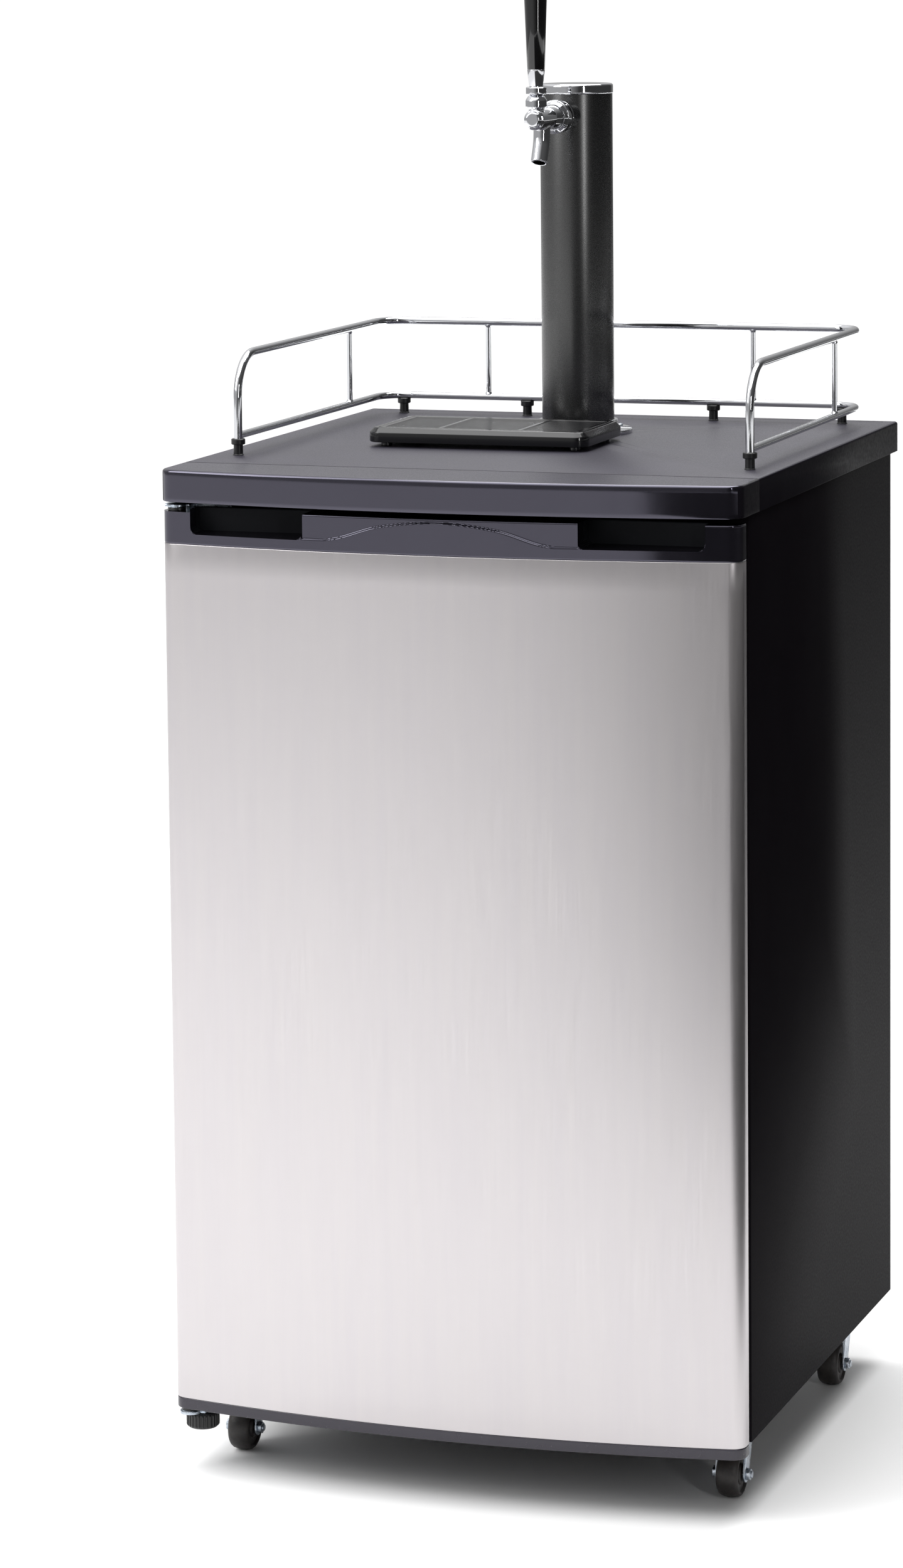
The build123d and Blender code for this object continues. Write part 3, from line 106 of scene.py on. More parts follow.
def newPiece(name, verts, faces, outward=True):
    mesh = bpy.data.meshes.new(name)
    mesh.from_pydata([tuple(v) for v in verts], [], faces)
    if outward:
        work = bmesh.new()
        work.from_mesh(mesh)
        bmesh.ops.remove_doubles(work, verts=work.verts, dist=1e-7)
        bmesh.ops.recalc_face_normals(work, faces=work.faces)
        work.to_mesh(mesh)
        work.free()
    piece = bpy.data.objects.new(name, mesh)
    bpy.context.scene.collection.objects.link(piece)
    return piece


def applied(piece):
    # turns the modifiers into plain mesh
    depsgraph = bpy.context.evaluated_depsgraph_get()
    mesh = bpy.data.meshes.new_from_object(piece.evaluated_get(depsgraph))
    piece.modifiers.clear()
    piece.data = mesh
    return piece


def moved(piece, matrix):
    piece.data.transform(matrix)
    return piece


def axisMatrix(centre, axis=up):
    # carries a piece made round Z at the origin to its place
    return Matrix.Translation(Vector(centre)) @ up.rotation_difference(Vector(axis)).to_matrix().to_4x4()


def stitchLoops(loops, closedLoops=True, closedRun=False, caps=True):
    # joins loops of equally many points into a skin
    verts = [point for loop in loops for point in loop]
    size = len(loops[0])
    faces = []
    rows = len(loops) if closedRun else len(loops) - 1
    columns = size if closedLoops else size - 1
    for row in range(rows):
        here, there = row * size, (row + 1) % len(loops) * size
        for i in range(columns):
            j = (i + 1) % size
            faces.append((here + i, here + j, there + j, there + i))
    if caps and not closedRun:
        faces.append(tuple(range(size)))
        faces.append(tuple(range((len(loops) - 1) * size, len(loops) * size)))
    return verts, faces


def turned(name, outline, centre=(0, 0, 0), axis=up, steps=72, ring=False):
    # a lathe piece: outline holds (radius, height) pairs in metres, ring closes it on itself
    outline = [(max(point[0], 1e-6), point[1]) for point in outline]
    loops = []
    for radius, height in outline:
        angles = [math.tau * i / steps for i in range(steps)]
        loops.append([(radius * math.cos(a), radius * math.sin(a), height) for a in angles])
    verts, faces = stitchLoops(loops, closedRun=ring)
    return moved(newPiece(name, verts, faces), axisMatrix(centre, axis))


def tube(name, path, radius, sides=20, closed=False, profile=None, flat=None):
    # sweeps a round bar, or a profile of (sideways, upwards) pairs, along a path
    points = [Vector(p) for p in path]
    count = len(points)
    radii = radius if isinstance(radius, (list, tuple)) else [radius] * count
    loops = []
    side = None
    for i, point in enumerate(points):
        ahead = points[(i + 1) % count] if closed or i < count - 1 else point
        behind = points[i - 1] if closed or i > 0 else point
        tangent = (ahead - behind).normalized()
        if side is None:
            start = Vector(flat) if flat else (along if abs(tangent.y) < 0.9 else across)
            side = (start - tangent * start.dot(tangent)).normalized()
        else:
            side = (side - tangent * side.dot(tangent)).normalized()
        other = tangent.cross(side)
        shape = profile or [
            (radii[i] * math.cos(math.tau * k / sides), radii[i] * math.sin(math.tau * k / sides))
            for k in range(sides)
        ]
        loops.append([point + other * u + side * v for u, v in shape])
    verts, faces = stitchLoops(loops, closedRun=closed)
    return newPiece(name, verts, faces)


def roundedRing(centre, size, corner, inset, height, steps=8):
    halfX, halfY = size[0] / 2 - inset, size[1] / 2 - inset
    corners = [(-halfX, -halfY, 0), (halfX, -halfY, 0), (halfX, halfY, 0), (-halfX, halfY, 0)]
    loop = roundPath(corners, max(corner - inset, 0.2 * mm), closed=True, steps=steps)
    return [Vector((centre[0] + p.x, centre[1] + p.y, height)) for p in loop]


def stackedPlate(name, centre, size, corner, profile, steps=8):
    # a rounded rectangle whose edge follows (inset, height) pairs from one face to the other
    loops = [roundedRing(centre, size, corner, inset, height, steps) for inset, height in profile]
    verts, faces = stitchLoops(loops)
    return newPiece(name, verts, faces)


def softCopy(name, node, width=0.5, segments=2, angle=35):
    # a merged copy of a CAD node with its sharp edges broken
    piece = bpy.data.objects.new(name, frame["nodes"][node].data.copy())
    bpy.context.scene.collection.objects.link(piece)
    work = bmesh.new()
    work.from_mesh(piece.data)
    bmesh.ops.remove_doubles(work, verts=work.verts, dist=2e-6)
    bmesh.ops.dissolve_limit(work, angle_limit=math.radians(0.2), verts=work.verts, edges=work.edges)
    work.to_mesh(piece.data)
    work.free()
    bevel = piece.modifiers.new("EdgeBreak", "BEVEL")
    bevel.width = width * mm
    bevel.segments = segments
    bevel.limit_method = "ANGLE"
    bevel.angle_limit = math.radians(angle)
    bevel.use_clamp_overlap = False
    bevel.harden_normals = True
    return applied(piece)


def joined(name, pieces):
    work = bmesh.new()
    for piece in pieces:
        work.from_mesh(piece.data)
        bpy.data.objects.remove(piece)
    mesh = bpy.data.meshes.new(name)
    work.to_mesh(mesh)
    work.free()
    whole = bpy.data.objects.new(name, mesh)
    bpy.context.scene.collection.objects.link(whole)
    return whole


def repeated(name, shape, material, count, spacing=None, radius=None, rows=1, rowSpacing=None):
    # Geometry Nodes: copies of a shape in a row, in rows, or round a ring about Z
    tree = bpy.data.node_groups.new(name + "Pattern", "GeometryNodeTree")
    panel = tree.interface
    panel.new_socket("Geometry", in_out="OUTPUT", socket_type="NodeSocketGeometry")
    wanted = {"Shape": ("NodeSocketObject", shape), "Count": ("NodeSocketInt", count)}
    if radius is None:
        wanted["Spacing"] = ("NodeSocketVector", spacing)
        wanted["Rows"] = ("NodeSocketInt", rows)
        wanted["Row Spacing"] = ("NodeSocketVector", rowSpacing or (0, 0, 0))
    else:
        wanted["Radius"] = ("NodeSocketFloat", radius)
    sockets = {}
    for label, (kind, _) in wanted.items():
        sockets[label] = panel.new_socket(label, in_out="INPUT", socket_type=kind)
    given = addNode(tree, "NodeGroupInput").outputs
    source = addNode(tree, "GeometryNodeObjectInfo", {"Object": given["Shape"]}, transform_space="ORIGINAL")
    stamp = {"Instance": source.outputs["Geometry"]}
    if radius is None:
        line = addNode(tree, "GeometryNodeMeshLine", {"Count": given["Count"], "Offset": given["Spacing"]})
        dot = addNode(tree, "GeometryNodeMeshLine", {"Count": given["Rows"], "Offset": given["Row Spacing"]})
        spread = addNode(tree, "GeometryNodeInstanceOnPoints",
                         {"Points": dot.outputs[0], "Instance": line.outputs[0]})
        stamp["Points"] = addNode(tree, "GeometryNodeRealizeInstances", {0: spread.outputs[0]}).outputs[0]
    else:
        circle = addNode(tree, "GeometryNodeMeshCircle",
                         {"Vertices": given["Count"], "Radius": given["Radius"]})
        index = addNode(tree, "GeometryNodeInputIndex")
        share = addNode(tree, "ShaderNodeMath", {0: index.outputs[0], 1: given["Count"]}, operation="DIVIDE")
        angle = addNode(tree, "ShaderNodeMath", {0: share.outputs[0], 1: math.tau}, operation="MULTIPLY")
        stamp["Points"] = circle.outputs[0]
        stamp["Rotation"] = addNode(tree, "ShaderNodeCombineXYZ", {"Z": angle.outputs[0]}).outputs[0]
    copies = addNode(tree, "GeometryNodeInstanceOnPoints", stamp)
    real = addNode(tree, "GeometryNodeRealizeInstances", {0: copies.outputs[0]})
    painted = addNode(tree, "GeometryNodeSetMaterial", {"Geometry": real.outputs[0], "Material": material})
    addNode(tree, "NodeGroupOutput", {0: painted.outputs[0]})
    host = bpy.data.objects.new(name, bpy.data.meshes.new(name))
    bpy.context.scene.collection.objects.link(host)
    pattern = host.modifiers.new("Pattern", "NODES")
    pattern.node_group = tree
    for label, (_, value) in wanted.items():
        pattern[sockets[label].identifier] = value
    applied(host)
    bpy.data.objects.remove(shape)
    return host


def finished(piece, body, slot, *nodes, material=None, smooth=35):
    # gives a piece its material and its place in the assembly
    piece.data.materials.clear()
    piece.data.materials.append(material or finishes[slot])
    for polygon in piece.data.polygons:
        polygon.use_smooth = True
    piece.data.set_sharp_from_angle(angle=math.radians(smooth))
    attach(piece, body)
    if nodes:
        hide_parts(*nodes)
    return piece


def makeMaterial(name, look):
    # colours: base and mottle; sizes in millimetres; rough: lowest and highest; bump: height in mm
    material = bpy.data.materials.new(name)
    material.use_nodes = True
    tree = material.node_tree
    tree.nodes.clear()
    place = addNode(tree, "ShaderNodeTexCoord").outputs["Object"]

    def pattern(size, detail=3.0, kind="noise"):
        scale = tuple(1 / (s * mm) for s in (size if isinstance(size, tuple) else (size,) * 3))
        mapped = addNode(tree, "ShaderNodeMapping", {"Vector": place, "Scale": scale})
        if kind == "cells":
            return addNode(tree, "ShaderNodeTexVoronoi", {"Vector": mapped.outputs[0], "Scale": 1.0})
        return addNode(tree, "ShaderNodeTexNoise",
                       {"Vector": mapped.outputs[0], "Scale": 1.0, "Detail": detail})

    def spread(value, low, high):
        span = {"Value": value, "From Min": 0.3, "From Max": 0.7, "To Min": low, "To Max": high}
        return addNode(tree, "ShaderNodeMapRange", span).outputs[0]

    base, mottle = hexColour(look["colours"][0]), hexColour(look["colours"][1])
    blotch = pattern(look.get("mottle", 60)).outputs[0]
    tint = addNode(tree, "ShaderNodeMix", {"Factor": spread(blotch, 0, 1)}, data_type="RGBA")
    tint.inputs[6].default_value = base
    tint.inputs[7].default_value = mottle
    grain = pattern(look["grain"], kind=look.get("kind", "noise"))
    shader = addNode(tree, "ShaderNodeBsdfPrincipled", {
        "Base Color": tint.outputs[2],
        "Roughness": spread(grain.outputs[0], *look["rough"]),
        "Metallic": look.get("metal", 0.0),
    })
    if look.get("bump"):
        relief = {"Height": grain.outputs[0], "Distance": look["bump"] * mm}
        tree.links.new(addNode(tree, "ShaderNodeBump", relief).outputs[0], shader.inputs["Normal"])
    if look.get("stretch"):
        shader.inputs["Anisotropic"].default_value = look["stretch"]
        tangent = addNode(tree, "ShaderNodeTangent", direction_type="RADIAL", axis="Z")
        tree.links.new(tangent.outputs[0], shader.inputs["Tangent"])
    for label, value in look.get("sockets", {}).items():
        shader.inputs[label].default_value = value
    addNode(tree, "ShaderNodeOutputMaterial", {"Surface": shader.outputs[0]})
    return material


looks = {
    # moulded ABS top with a fine leather pebble, so highlights spread wide and dull
    "worktop_laminate": ("Pebbled ABS", {
        "colours": ("#2c2a33", "#302e38"), "grain": 0.9, "kind": "cells", "rough": (0.36, 0.46),
        "bump": 0.05, "sockets": {"IOR": 1.53}}),
    # polished ABS: near-mirror black with faint flow marks
    "gloss_black_plastic": ("Polished ABS", {
        "colours": ("#09080c", "#0b0a0e"), "grain": 40, "rough": (0.07, 0.12), "bump": 0.03,
        "sockets": {"IOR": 1.53, "Specular IOR Level": 0.95, "Specular Tint": (0.82, 0.79, 1.0, 1.0)}}),
    # polyester-coated steel sheet with a light orange peel
    "black_cabinet_paint": ("Black coated steel", {
        "colours": ("#131114", "#151316"), "grain": 2.2, "rough": (0.36, 0.44), "bump": 0.02,
        "sockets": {"IOR": 1.5, "Specular IOR Level": 0.003}}),
    # zinc plate with a blue passivate, cloudy and slightly uneven
    "zinc_plate": ("Blue zinc plate", {
        "colours": ("#c3c9d0", "#9ea8b4"), "mottle": 7, "grain": 3, "rough": (0.22, 0.4), "bump": 0.01,
        "metal": 1.0}),
    # vacuum-formed HIPS, milky and satin
    "white_liner_plastic": ("White HIPS", {
        "colours": ("#e9ebea", "#e2e5e6"), "grain": 5, "rough": (0.28, 0.36), "bump": 0.03,
        "sockets": {"IOR": 1.59, "Subsurface Weight": 0.05}}),
    # rigid polyurethane, foamed in place: cellular and matte
    "insulation_foam": ("Polyurethane foam", {
        "colours": ("#d9c58c", "#c8b172"), "grain": 2.5, "kind": "cells", "rough": (0.85, 0.95),
        "bump": 0.6}),
    # 430 stainless brushed up and down: the grain widens reflections sideways
    "brushed_door_steel": ("Brushed stainless steel", {
        "colours": ("#c0bcbd", "#bebabc"), "mottle": (9, 9, 200), "grain": (0.5, 0.5, 60),
        "rough": (0.3, 0.38), "bump": 0.004, "metal": 1.0, "stretch": 0.55}),
    # glass-filled polypropylene mouldings, satin
    "black_plastic": ("Black polypropylene", {
        "colours": ("#0c0c0e", "#0f0f11"), "grain": 0.8, "rough": (0.28, 0.4), "bump": 0.015}),
    # extruded PVC seal
    "gasket_rubber": ("Soft black PVC", {
        "colours": ("#141416", "#1a1a1d"), "grain": 1.2, "rough": (0.5, 0.62), "bump": 0.02}),
    # bright chromium over nickel
    "chrome": ("Chromium plate", {
        "colours": ("#dcdde0", "#d6d7db"), "grain": 12, "rough": (0.03, 0.07), "metal": 1.0}),
    # rubber tyre moulded on a nylon core, scuffed brown-black
    "wheel_rubber": ("Scuffed rubber", {
        "colours": ("#1d1a1a", "#2b2624"), "mottle": 5, "grain": 1.5, "rough": (0.4, 0.6), "bump": 0.05}),
    # roll-bonded aluminium, lightly etched
    "evaporator_aluminium": ("Roll-bond aluminium", {
        "colours": ("#c9cdd0", "#bcc1c5"), "grain": (6, 6, 1.2), "rough": (0.32, 0.45),
        "bump": 0.02, "metal": 1.0}),
    # stoved enamel on a pressed shell
    "compressor_enamel": ("Black stoved enamel", {
        "colours": ("#0d0d0f", "#121215"), "grain": 3, "rough": (0.14, 0.22), "bump": 0.03,
        "sockets": {"IOR": 1.52, "Coat Weight": 0.3}}),
    "condenser_enamel": ("Dipped black enamel", {
        "colours": ("#101012", "#161618"), "grain": 3, "rough": (0.3, 0.42), "bump": 0.03}),
    # fine-textured powder coat on the steel column
    "tower_powder_coat": ("Satin powder coat", {
        "colours": ("#0b0b0c", "#0e0e0f"), "grain": 0.7, "rough": (0.24, 0.3), "bump": 0.01,
        "sockets": {"IOR": 1.6, "Specular IOR Level": 0.9}}),
    # phenolic ball-knob stock, polished deep black
    "handle_phenolic": ("Polished phenolic", {
        "colours": ("#060607", "#09090b"), "grain": 20, "rough": (0.05, 0.08), "bump": 0.01,
        "sockets": {"IOR": 1.6, "Coat Weight": 0.6, "Coat Roughness": 0.02}}),
    # food-grade vinyl hose, slightly milky
    "beer_line_vinyl": ("Clear vinyl", {
        "colours": ("#e6e9e4", "#dfe3dc"), "grain": 6, "rough": (0.08, 0.16),
        "sockets": {"IOR": 1.54, "Transmission Weight": 0.7}}),
}
finishes = {slot: makeMaterial(name, look) for slot, (name, look) in looks.items()}
# inside the finger pockets: a fine spark-eroded bump, and a low-sheen copy of the black plastic as painted
# shade so the pockets render dark
pocketShadeFinish = makeMaterial("Pocket shade ABS", {
    "colours": ("#17181b", "#1a1b1f"), "grain": 0.6, "rough": (0.55, 0.7), "bump": 0.03,
    "sockets": {"IOR": 1.2}})
# ABS from a polished mould: the tray and its grille
trayFinish = makeMaterial("Moulded glossy ABS", {
    "colours": ("#08080a", "#0b0b0e"), "grain": 9, "rough": (0.1, 0.16), "bump": 0.03,
    "sockets": {"IOR": 1.55}})
# satin ABS for the door's bottom trim: its lightened purple-grey colour is a painted reflection of the bright
# floor
kickReflectionFinish = makeMaterial("Satin ABS, painted floor reflection", {
    "colours": ("#26232c", "#2a2731"), "grain": 5, "rough": (0.2, 0.28), "bump": 0.02})
# the worktop's sides are out of the light: this darker, low-sheen copy of the top's ABS is painted shade on
# them
shadedSideFinish = makeMaterial("Shaded ABS side", {
    "colours": ("#151318", "#18161b"), "grain": 3, "rough": (0.4, 0.5), "bump": 0.02,
    "sockets": {"IOR": 1.5, "Specular IOR Level": 0.02}})
print("materials made:", len(finishes) + 4)


bowRise = 23 * mm


def bowedPath(halfWidth, apexY, backY, corner, step):
    # plan outline from the back left round the bowed front to the back right, with outward normals
    radius = (halfWidth**2 + bowRise**2) / (2 * bowRise)
    centreY = apexY + radius
    cornerX = halfWidth - corner
    cornerY = centreY - math.sqrt((radius - corner)**2 - cornerX**2)
    lean = math.asin(cornerX / (radius - corner))
    path = [(Vector((-halfWidth, backY, 0)), Vector((-1, 0, 0)))]
    for i in range(13):
        a = -math.pi / 2 + (math.pi / 2 - lean) * i / 12
        out = Vector((math.sin(a), -math.cos(a), 0))
        path.append((Vector((-cornerX, cornerY, 0)) + out * corner, out))
    count = max(int(2 * lean * radius / step), 8)
    for i in range(1, count):
        a = -lean + 2 * lean * i / count
        out = Vector((math.sin(a), -math.cos(a), 0))
        path.append((Vector((0, centreY, 0)) + out * radius, out))
    for i in range(13):
        a = lean + (math.pi / 2 - lean) * i / 12
        out = Vector((math.sin(a), -math.cos(a), 0))
        path.append((Vector((cornerX, cornerY, 0)) + out * corner, out))
    path.append((Vector((halfWidth, backY, 0)), Vector((1, 0, 0))))
    return path


def edgeRows(low, high, radius, step):
    # heights from low to high, close together near both rounded edges
    near = [radius * (1 - math.cos(math.pi / 2 * i / 4)) for i in range(5)]
    count = max(int((high - low - 2 * radius) / step), 1)
    inner = [low + radius + (high - low - 2 * radius) * i / count for i in range(1, count)]
    return [low + n for n in near] + inner + [high - n for n in reversed(near)]


def wrappedBlock(name, path, low, high, edge, step, shapeAt=None):
    # a solid block behind a bowed face; shapeAt moves its points to sink details into it
    rows = edgeRows(low, high, edge, step)
    loops = []
    for z in rows:
        fromEdge = min(z - low, high - z, edge)
        inset = edge - math.sqrt(max(edge**2 - (edge - fromEdge)**2, 0))
        loop = []
        for point, out in path:
            detail = shapeAt(point, z) if shapeAt else Vector()
            loop.append(point - out * inset + detail + up * z)
        loops.append(loop)
    verts, faces = stitchLoops(loops)
    return newPiece(name, verts, faces)


def bowedPlate(name, rows, halfWidth, apexY, backY, corner):
    # a bowed slab whose edge follows (inset, height) rows from the underside to the top
    loops = []
    for inset, height in rows:
        plan = bowedPath(halfWidth, apexY, backY - inset, corner, 8 * mm)
        outline = [point - out * inset for point, out in plan]
        loops.append([Vector((p.x, p.y, height)) for p in outline])
    verts, faces = stitchLoops(loops)
    return newPiece(name, verts, faces)


worktop = {"edge": 2.5, "seamGap": 0.5, "corner": 14, "panelEdge": 0.5}
fasciaLow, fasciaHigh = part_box("worktop_fascia")
surface = softCopy("worktopSurface", "worktop_panel", worktop["panelEdge"])
finished(surface, "cabinet", "worktop_laminate", "worktop_panel")
surface.data.materials.append(shadedSideFinish)
for face in surface.data.polygons:
    face.material_index = int(face.normal.z < 0.6)         # only the top face is pebbled; the sides take the darker painted-shade copy


def fasciaPiece():
    # a glossy moulded nosing, its lower edge turned in like the upper one
    edge, corner = worktop["edge"] * mm, worktop["corner"] * mm
    low, high = fasciaLow.z, fasciaHigh.z
    quarter = [math.pi / 2 * i / 6 for i in range(7)]
    rows = [(0.8 * mm, low), (0.2 * mm, low + 0.3 * mm), (0, low + 1 * mm)]
    rows += [(0, low + (high - edge - low) * i / 6) for i in range(1, 6)]
    rows += [(edge * (1 - math.cos(a)), high - edge + edge * math.sin(a)) for a in quarter]
    rows += [(edge + 0.01 * mm, high)]
    backY = fasciaHigh.y - worktop["seamGap"] * mm
    return bowedPlate("worktopNosing", rows, fasciaHigh.x, fasciaLow.y, backY, corner)


nosing = finished(fasciaPiece(), "cabinet", "gloss_black_plastic", "worktop_fascia")
nosing.data.materials.append(finishes["worktop_laminate"])
nosing.data.materials.append(shadedSideFinish)
for face in nosing.data.polygons:
    if face.normal.z > 0.93:
        face.material_index = 1         # the top skin carries the same pebble as the panel behind it
    elif abs(face.normal.x) > 0.8:
        face.material_index = 2         # its ends take the same darker painted-shade copy as the panel's sides
print("worktop built")


steelLow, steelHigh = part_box("door_steel_panel")
trimLow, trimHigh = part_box("door_top_trim")
kickLow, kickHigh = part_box("door_bottom_trim")
doorHalf, doorApex, doorBack, doorCorner = steelHigh.x, steelLow.y, steelHigh.y, 12 * mm
skinPath = bowedPath(doorHalf, doorApex, doorBack, doorCorner, 4 * mm)
steel = wrappedBlock("steelSkin", skinPath, steelLow.z, steelHigh.z, 0.4 * mm, 24 * mm)
finished(steel, "door", "brushed_door_steel", "door_steel_panel")

trim = {"waveHalf": 100, "waveLow": 9.5, "waveRise": 17, "waveDeep": 2.0, "crease": 1.1,
        "pocketIn": 118, "pocketOut": 221, "pocketDeep": 21, "pocketCorner": 6, "pocketBack": -234.0,
        "notchTop": 3.0, "notchEnd": -221.3}


def softStep(low, high, value):
    share = min(max((value - low) / (high - low), 0), 1)
    return share * share * (3 - 2 * share)


def waveHeight(x):
    # height of the crease above the steel's top edge, in millimetres
    knots = [(0, 1.0, 0.0), (0.5, 0.72, -1.0), (1.0, 0.0, 0.0)]
    share = min(abs(x) / trim["waveHalf"], 1)
    for (a, va, sa), (b, vb, sb) in zip(knots, knots[1:]):
        if share <= b:
            t, span = (share - a) / (b - a), b - a
            rise = (2 * t**3 - 3 * t**2 + 1) * va + (t**3 - 2 * t**2 + t) * span * sa
            rise += (3 * t**2 - 2 * t**3) * vb + (t**3 - t**2) * span * sb
            return trim["waveLow"] + trim["waveRise"] * rise
    return trim["waveLow"]


def trimShape(point, z):
    x, height = point.x / mm, (z - trimLow.z) / mm
    top = (trimHigh.z - trimLow.z) / mm
    sink = trim["waveDeep"] * softStep(0, trim["crease"], height - waveHeight(x))
    sink *= 1 - softStep(trim["pocketIn"], trim["pocketIn"] + 0.8, abs(x))
    halfWide = (trim["pocketOut"] - trim["pocketIn"]) / 2
    acrossPocket = abs(abs(x) - (trim["pocketIn"] + trim["pocketOut"]) / 2) - halfWide + trim["pocketCorner"]
    downPocket = (top - trim["pocketDeep"] + trim["pocketCorner"]) - height
    reach = math.hypot(max(acrossPocket, 0), max(downPocket, 0)) - trim["pocketCorner"]
    reach += min(max(acrossPocket, downPocket), 0)
    pocket = 1 - softStep(-0.9, 0, reach)
    wall = trim["pocketBack"] - point.y / mm
    drop = min(0, top - trim["notchTop"] - height) if x < trim["notchEnd"] else 0
    return Vector((0, max(sink, pocket * wall) * mm, drop * mm))


def trimColumns():
    # closer columns where the finger pockets end and along the wave
    fine = bowedPath(doorHalf, doorApex, doorBack, doorCorner, 0.4 * mm)
    kept, last = [], None
    for point, out in fine:
        x = abs(point.x) / mm
        step = 0.39 if 116 < x < 126 or 213 < x < 223 else 1.2
        if last is None or (point - last).length > step * mm * 0.98 or x > 236:
            kept.append((point, out))
            last = point
    return kept


topTrim = wrappedBlock("topTrim", trimColumns(), trimLow.z, trimHigh.z, 1.2 * mm, 0.5 * mm, trimShape)
finished(topTrim, "door", "gloss_black_plastic", "door_top_trim", smooth=42)
topTrim.data.materials.append(pocketShadeFinish)
for face in topTrim.data.polygons:
    x, y = abs(face.center.x) / mm, face.center.y / mm
    sunken = trim["pocketBack"] - 11 < y < trim["pocketBack"] + 2
    if trim["pocketIn"] < x < trim["pocketOut"] and sunken and face.normal.z < 0.9:
        face.material_index = 1         # the finger pockets take the spark-textured, low-sheen painted-shade copy
kick = wrappedBlock("bottomTrim", skinPath, kickLow.z, kickHigh.z, 1.0 * mm, 3 * mm)
# the bottom trim's light colour is painted reflection of the floor
finished(kick, "door", "black_plastic", "door_bottom_trim", material=kickReflectionFinish)

gasketLow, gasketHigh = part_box("door_gasket")
gasket = {"width": 12, "corner": 5,
          "profile": ((-6, 0), (6, 0), (6, 1.2), (3.6, 1.9), (5.4, 3.1), (5.4, 3.9), (3.8, 5.0), (6, 5.8),
                      (6, 8.0), (-6, 8.0), (-6, 5.8), (-3.8, 5.0), (-5.4, 3.9), (-5.4, 3.1), (-3.6, 1.9),
                      (-6, 1.2))}
inX, inZ = gasketHigh.x - gasket["width"] * mm / 2, gasket["width"] * mm / 2
sealPath = roundPath(
    [(-inX, gasketLow.y, gasketLow.z + inZ), (inX, gasketLow.y, gasketLow.z + inZ),
     (inX, gasketLow.y, gasketHigh.z - inZ), (-inX, gasketLow.y, gasketHigh.z - inZ)],
    gasket["corner"] * mm, closed=True)
seal = tube("magneticSeal", sealPath, 1, closed=True, flat=(0, 1, 0),
            profile=[(u * mm, v * mm) for u, v in gasket["profile"]])
finished(seal, "door", "gasket_rubber", "door_gasket")
for node, width in (("door_liner", 1.6), ("door_foam", 0.5), ("door_hinge_bushings", 0.3)):
    finished(softCopy(node + "Look", node, width), "door", slotOf[node], node)
print("door built")


edgeWidths = {         # how far each plain piece's edges are broken, in millimetres
    "cabinet_shell": 0.4, "cabinet_base_plate": 0.3, "cabinet_back_panel": 0.4, "cabinet_liner": 0.9,
    "gas_port_bushing": 0.6, "keg_floor_plate": 0.5, "evaporator_plate": 0.5,
    "thermostat_housing": 0.6, "thermostat_knob": 0.5, "compressor": 0.8, "compressor_grommets": 1.2,
    "cord_gland": 0.5, "condenser_clips": 0.8, "hinge_top_bracket": 0.4, "hinge_bottom_bracket": 0.4,
    "caster_plates": 0.4, "shank_locknut": 0.4, "beer_line_nut": 0.4, "beer_line": 0.2, "valve_shaft": 0.3,
    "faucet_shank": 0.3, "leveller_stud": 0.3,
}
for node, width in edgeWidths.items():
    finished(softCopy(node + "Look", node, width), bodyOf[node], slotOf[node], node)
for face in frame["nodes"]["cabinet_foam"].material_slots:
    face.material = finishes["insulation_foam"]         # out of sight between shell and liner
print("plain pieces built:", len(edgeWidths) + 1)


rail = {"radius": 3.6, "lower": 3.1, "post": 2.4, "frontBend": 40, "planBend": 26, "sides": 24,
        "sidePostY": 145, "backPostX": 125, "backFeetX": (-207, -88, 88, 207)}
railLow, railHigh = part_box("rail_top")
lowerTop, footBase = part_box("rail_lower")[1].z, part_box("rail_feet")[0].z
railX, railFront = railHigh.x - rail["radius"] * mm, railLow.y + rail["radius"] * mm
railBack, railTop = railHigh.y - rail["radius"] * mm, railHigh.z - rail["radius"] * mm
lowerZ = lowerTop - rail["lower"] * mm
upperBends = [rail[bend] * mm for bend in ("frontBend", "planBend", "planBend", "frontBend")]
upperRoute = roundPath(
    [(-railX, railFront, railLow.z), (-railX, railFront, railTop), (-railX, railBack, railTop),
     (railX, railBack, railTop), (railX, railFront, railTop), (railX, railFront, railLow.z)],
    [0, *upperBends, 0], steps=14)
lowerRoute = roundPath(
    [(-railX, railFront, lowerZ), (-railX, railBack, lowerZ), (railX, railBack, lowerZ),
     (railX, railFront, lowerZ)],
    rail["planBend"] * mm, steps=14)
upperRail = tube("upperRail", upperRoute, rail["radius"] * mm, rail["sides"])
finished(upperRail, "cabinet", "chrome", "rail_top")
lowerRail = tube("lowerRail", lowerRoute, rail["lower"] * mm, rail["sides"])
finished(lowerRail, "cabinet", "chrome", "rail_lower")
posts = []
postY, postX = rail["sidePostY"] * mm, rail["backPostX"] * mm
for x, y in ((-railX, postY), (railX, postY), (-postX, railBack), (postX, railBack)):
    posts.append(tube("post", [(x, y, lowerZ), (x, y, railTop)], rail["post"] * mm, 16))
    for z, size in ((lowerZ + rail["lower"] * mm, 1.0), (railTop - rail["radius"] * mm, -1.0)):
        fillet = [(3.3 * mm, -0.4 * mm), (2.9 * mm, 0.3 * mm), (2.55 * mm, 0.8 * mm), (2.3 * mm, 1.5 * mm)]
        posts.append(turned("weld", fillet, (x, y, z), up * size, 16))
finished(joined("railPosts", posts), "cabinet", "chrome", "rail_posts")
footOutline = [(4.6, 0.0), (4.6, 0.5), (4.1, 1.0), (4.0, 8.8), (5.4, 9.0), (6.0, 9.6), (6.0, 13.4),
               (5.4, 14.0), (3.9, 14.0)]
feet = []
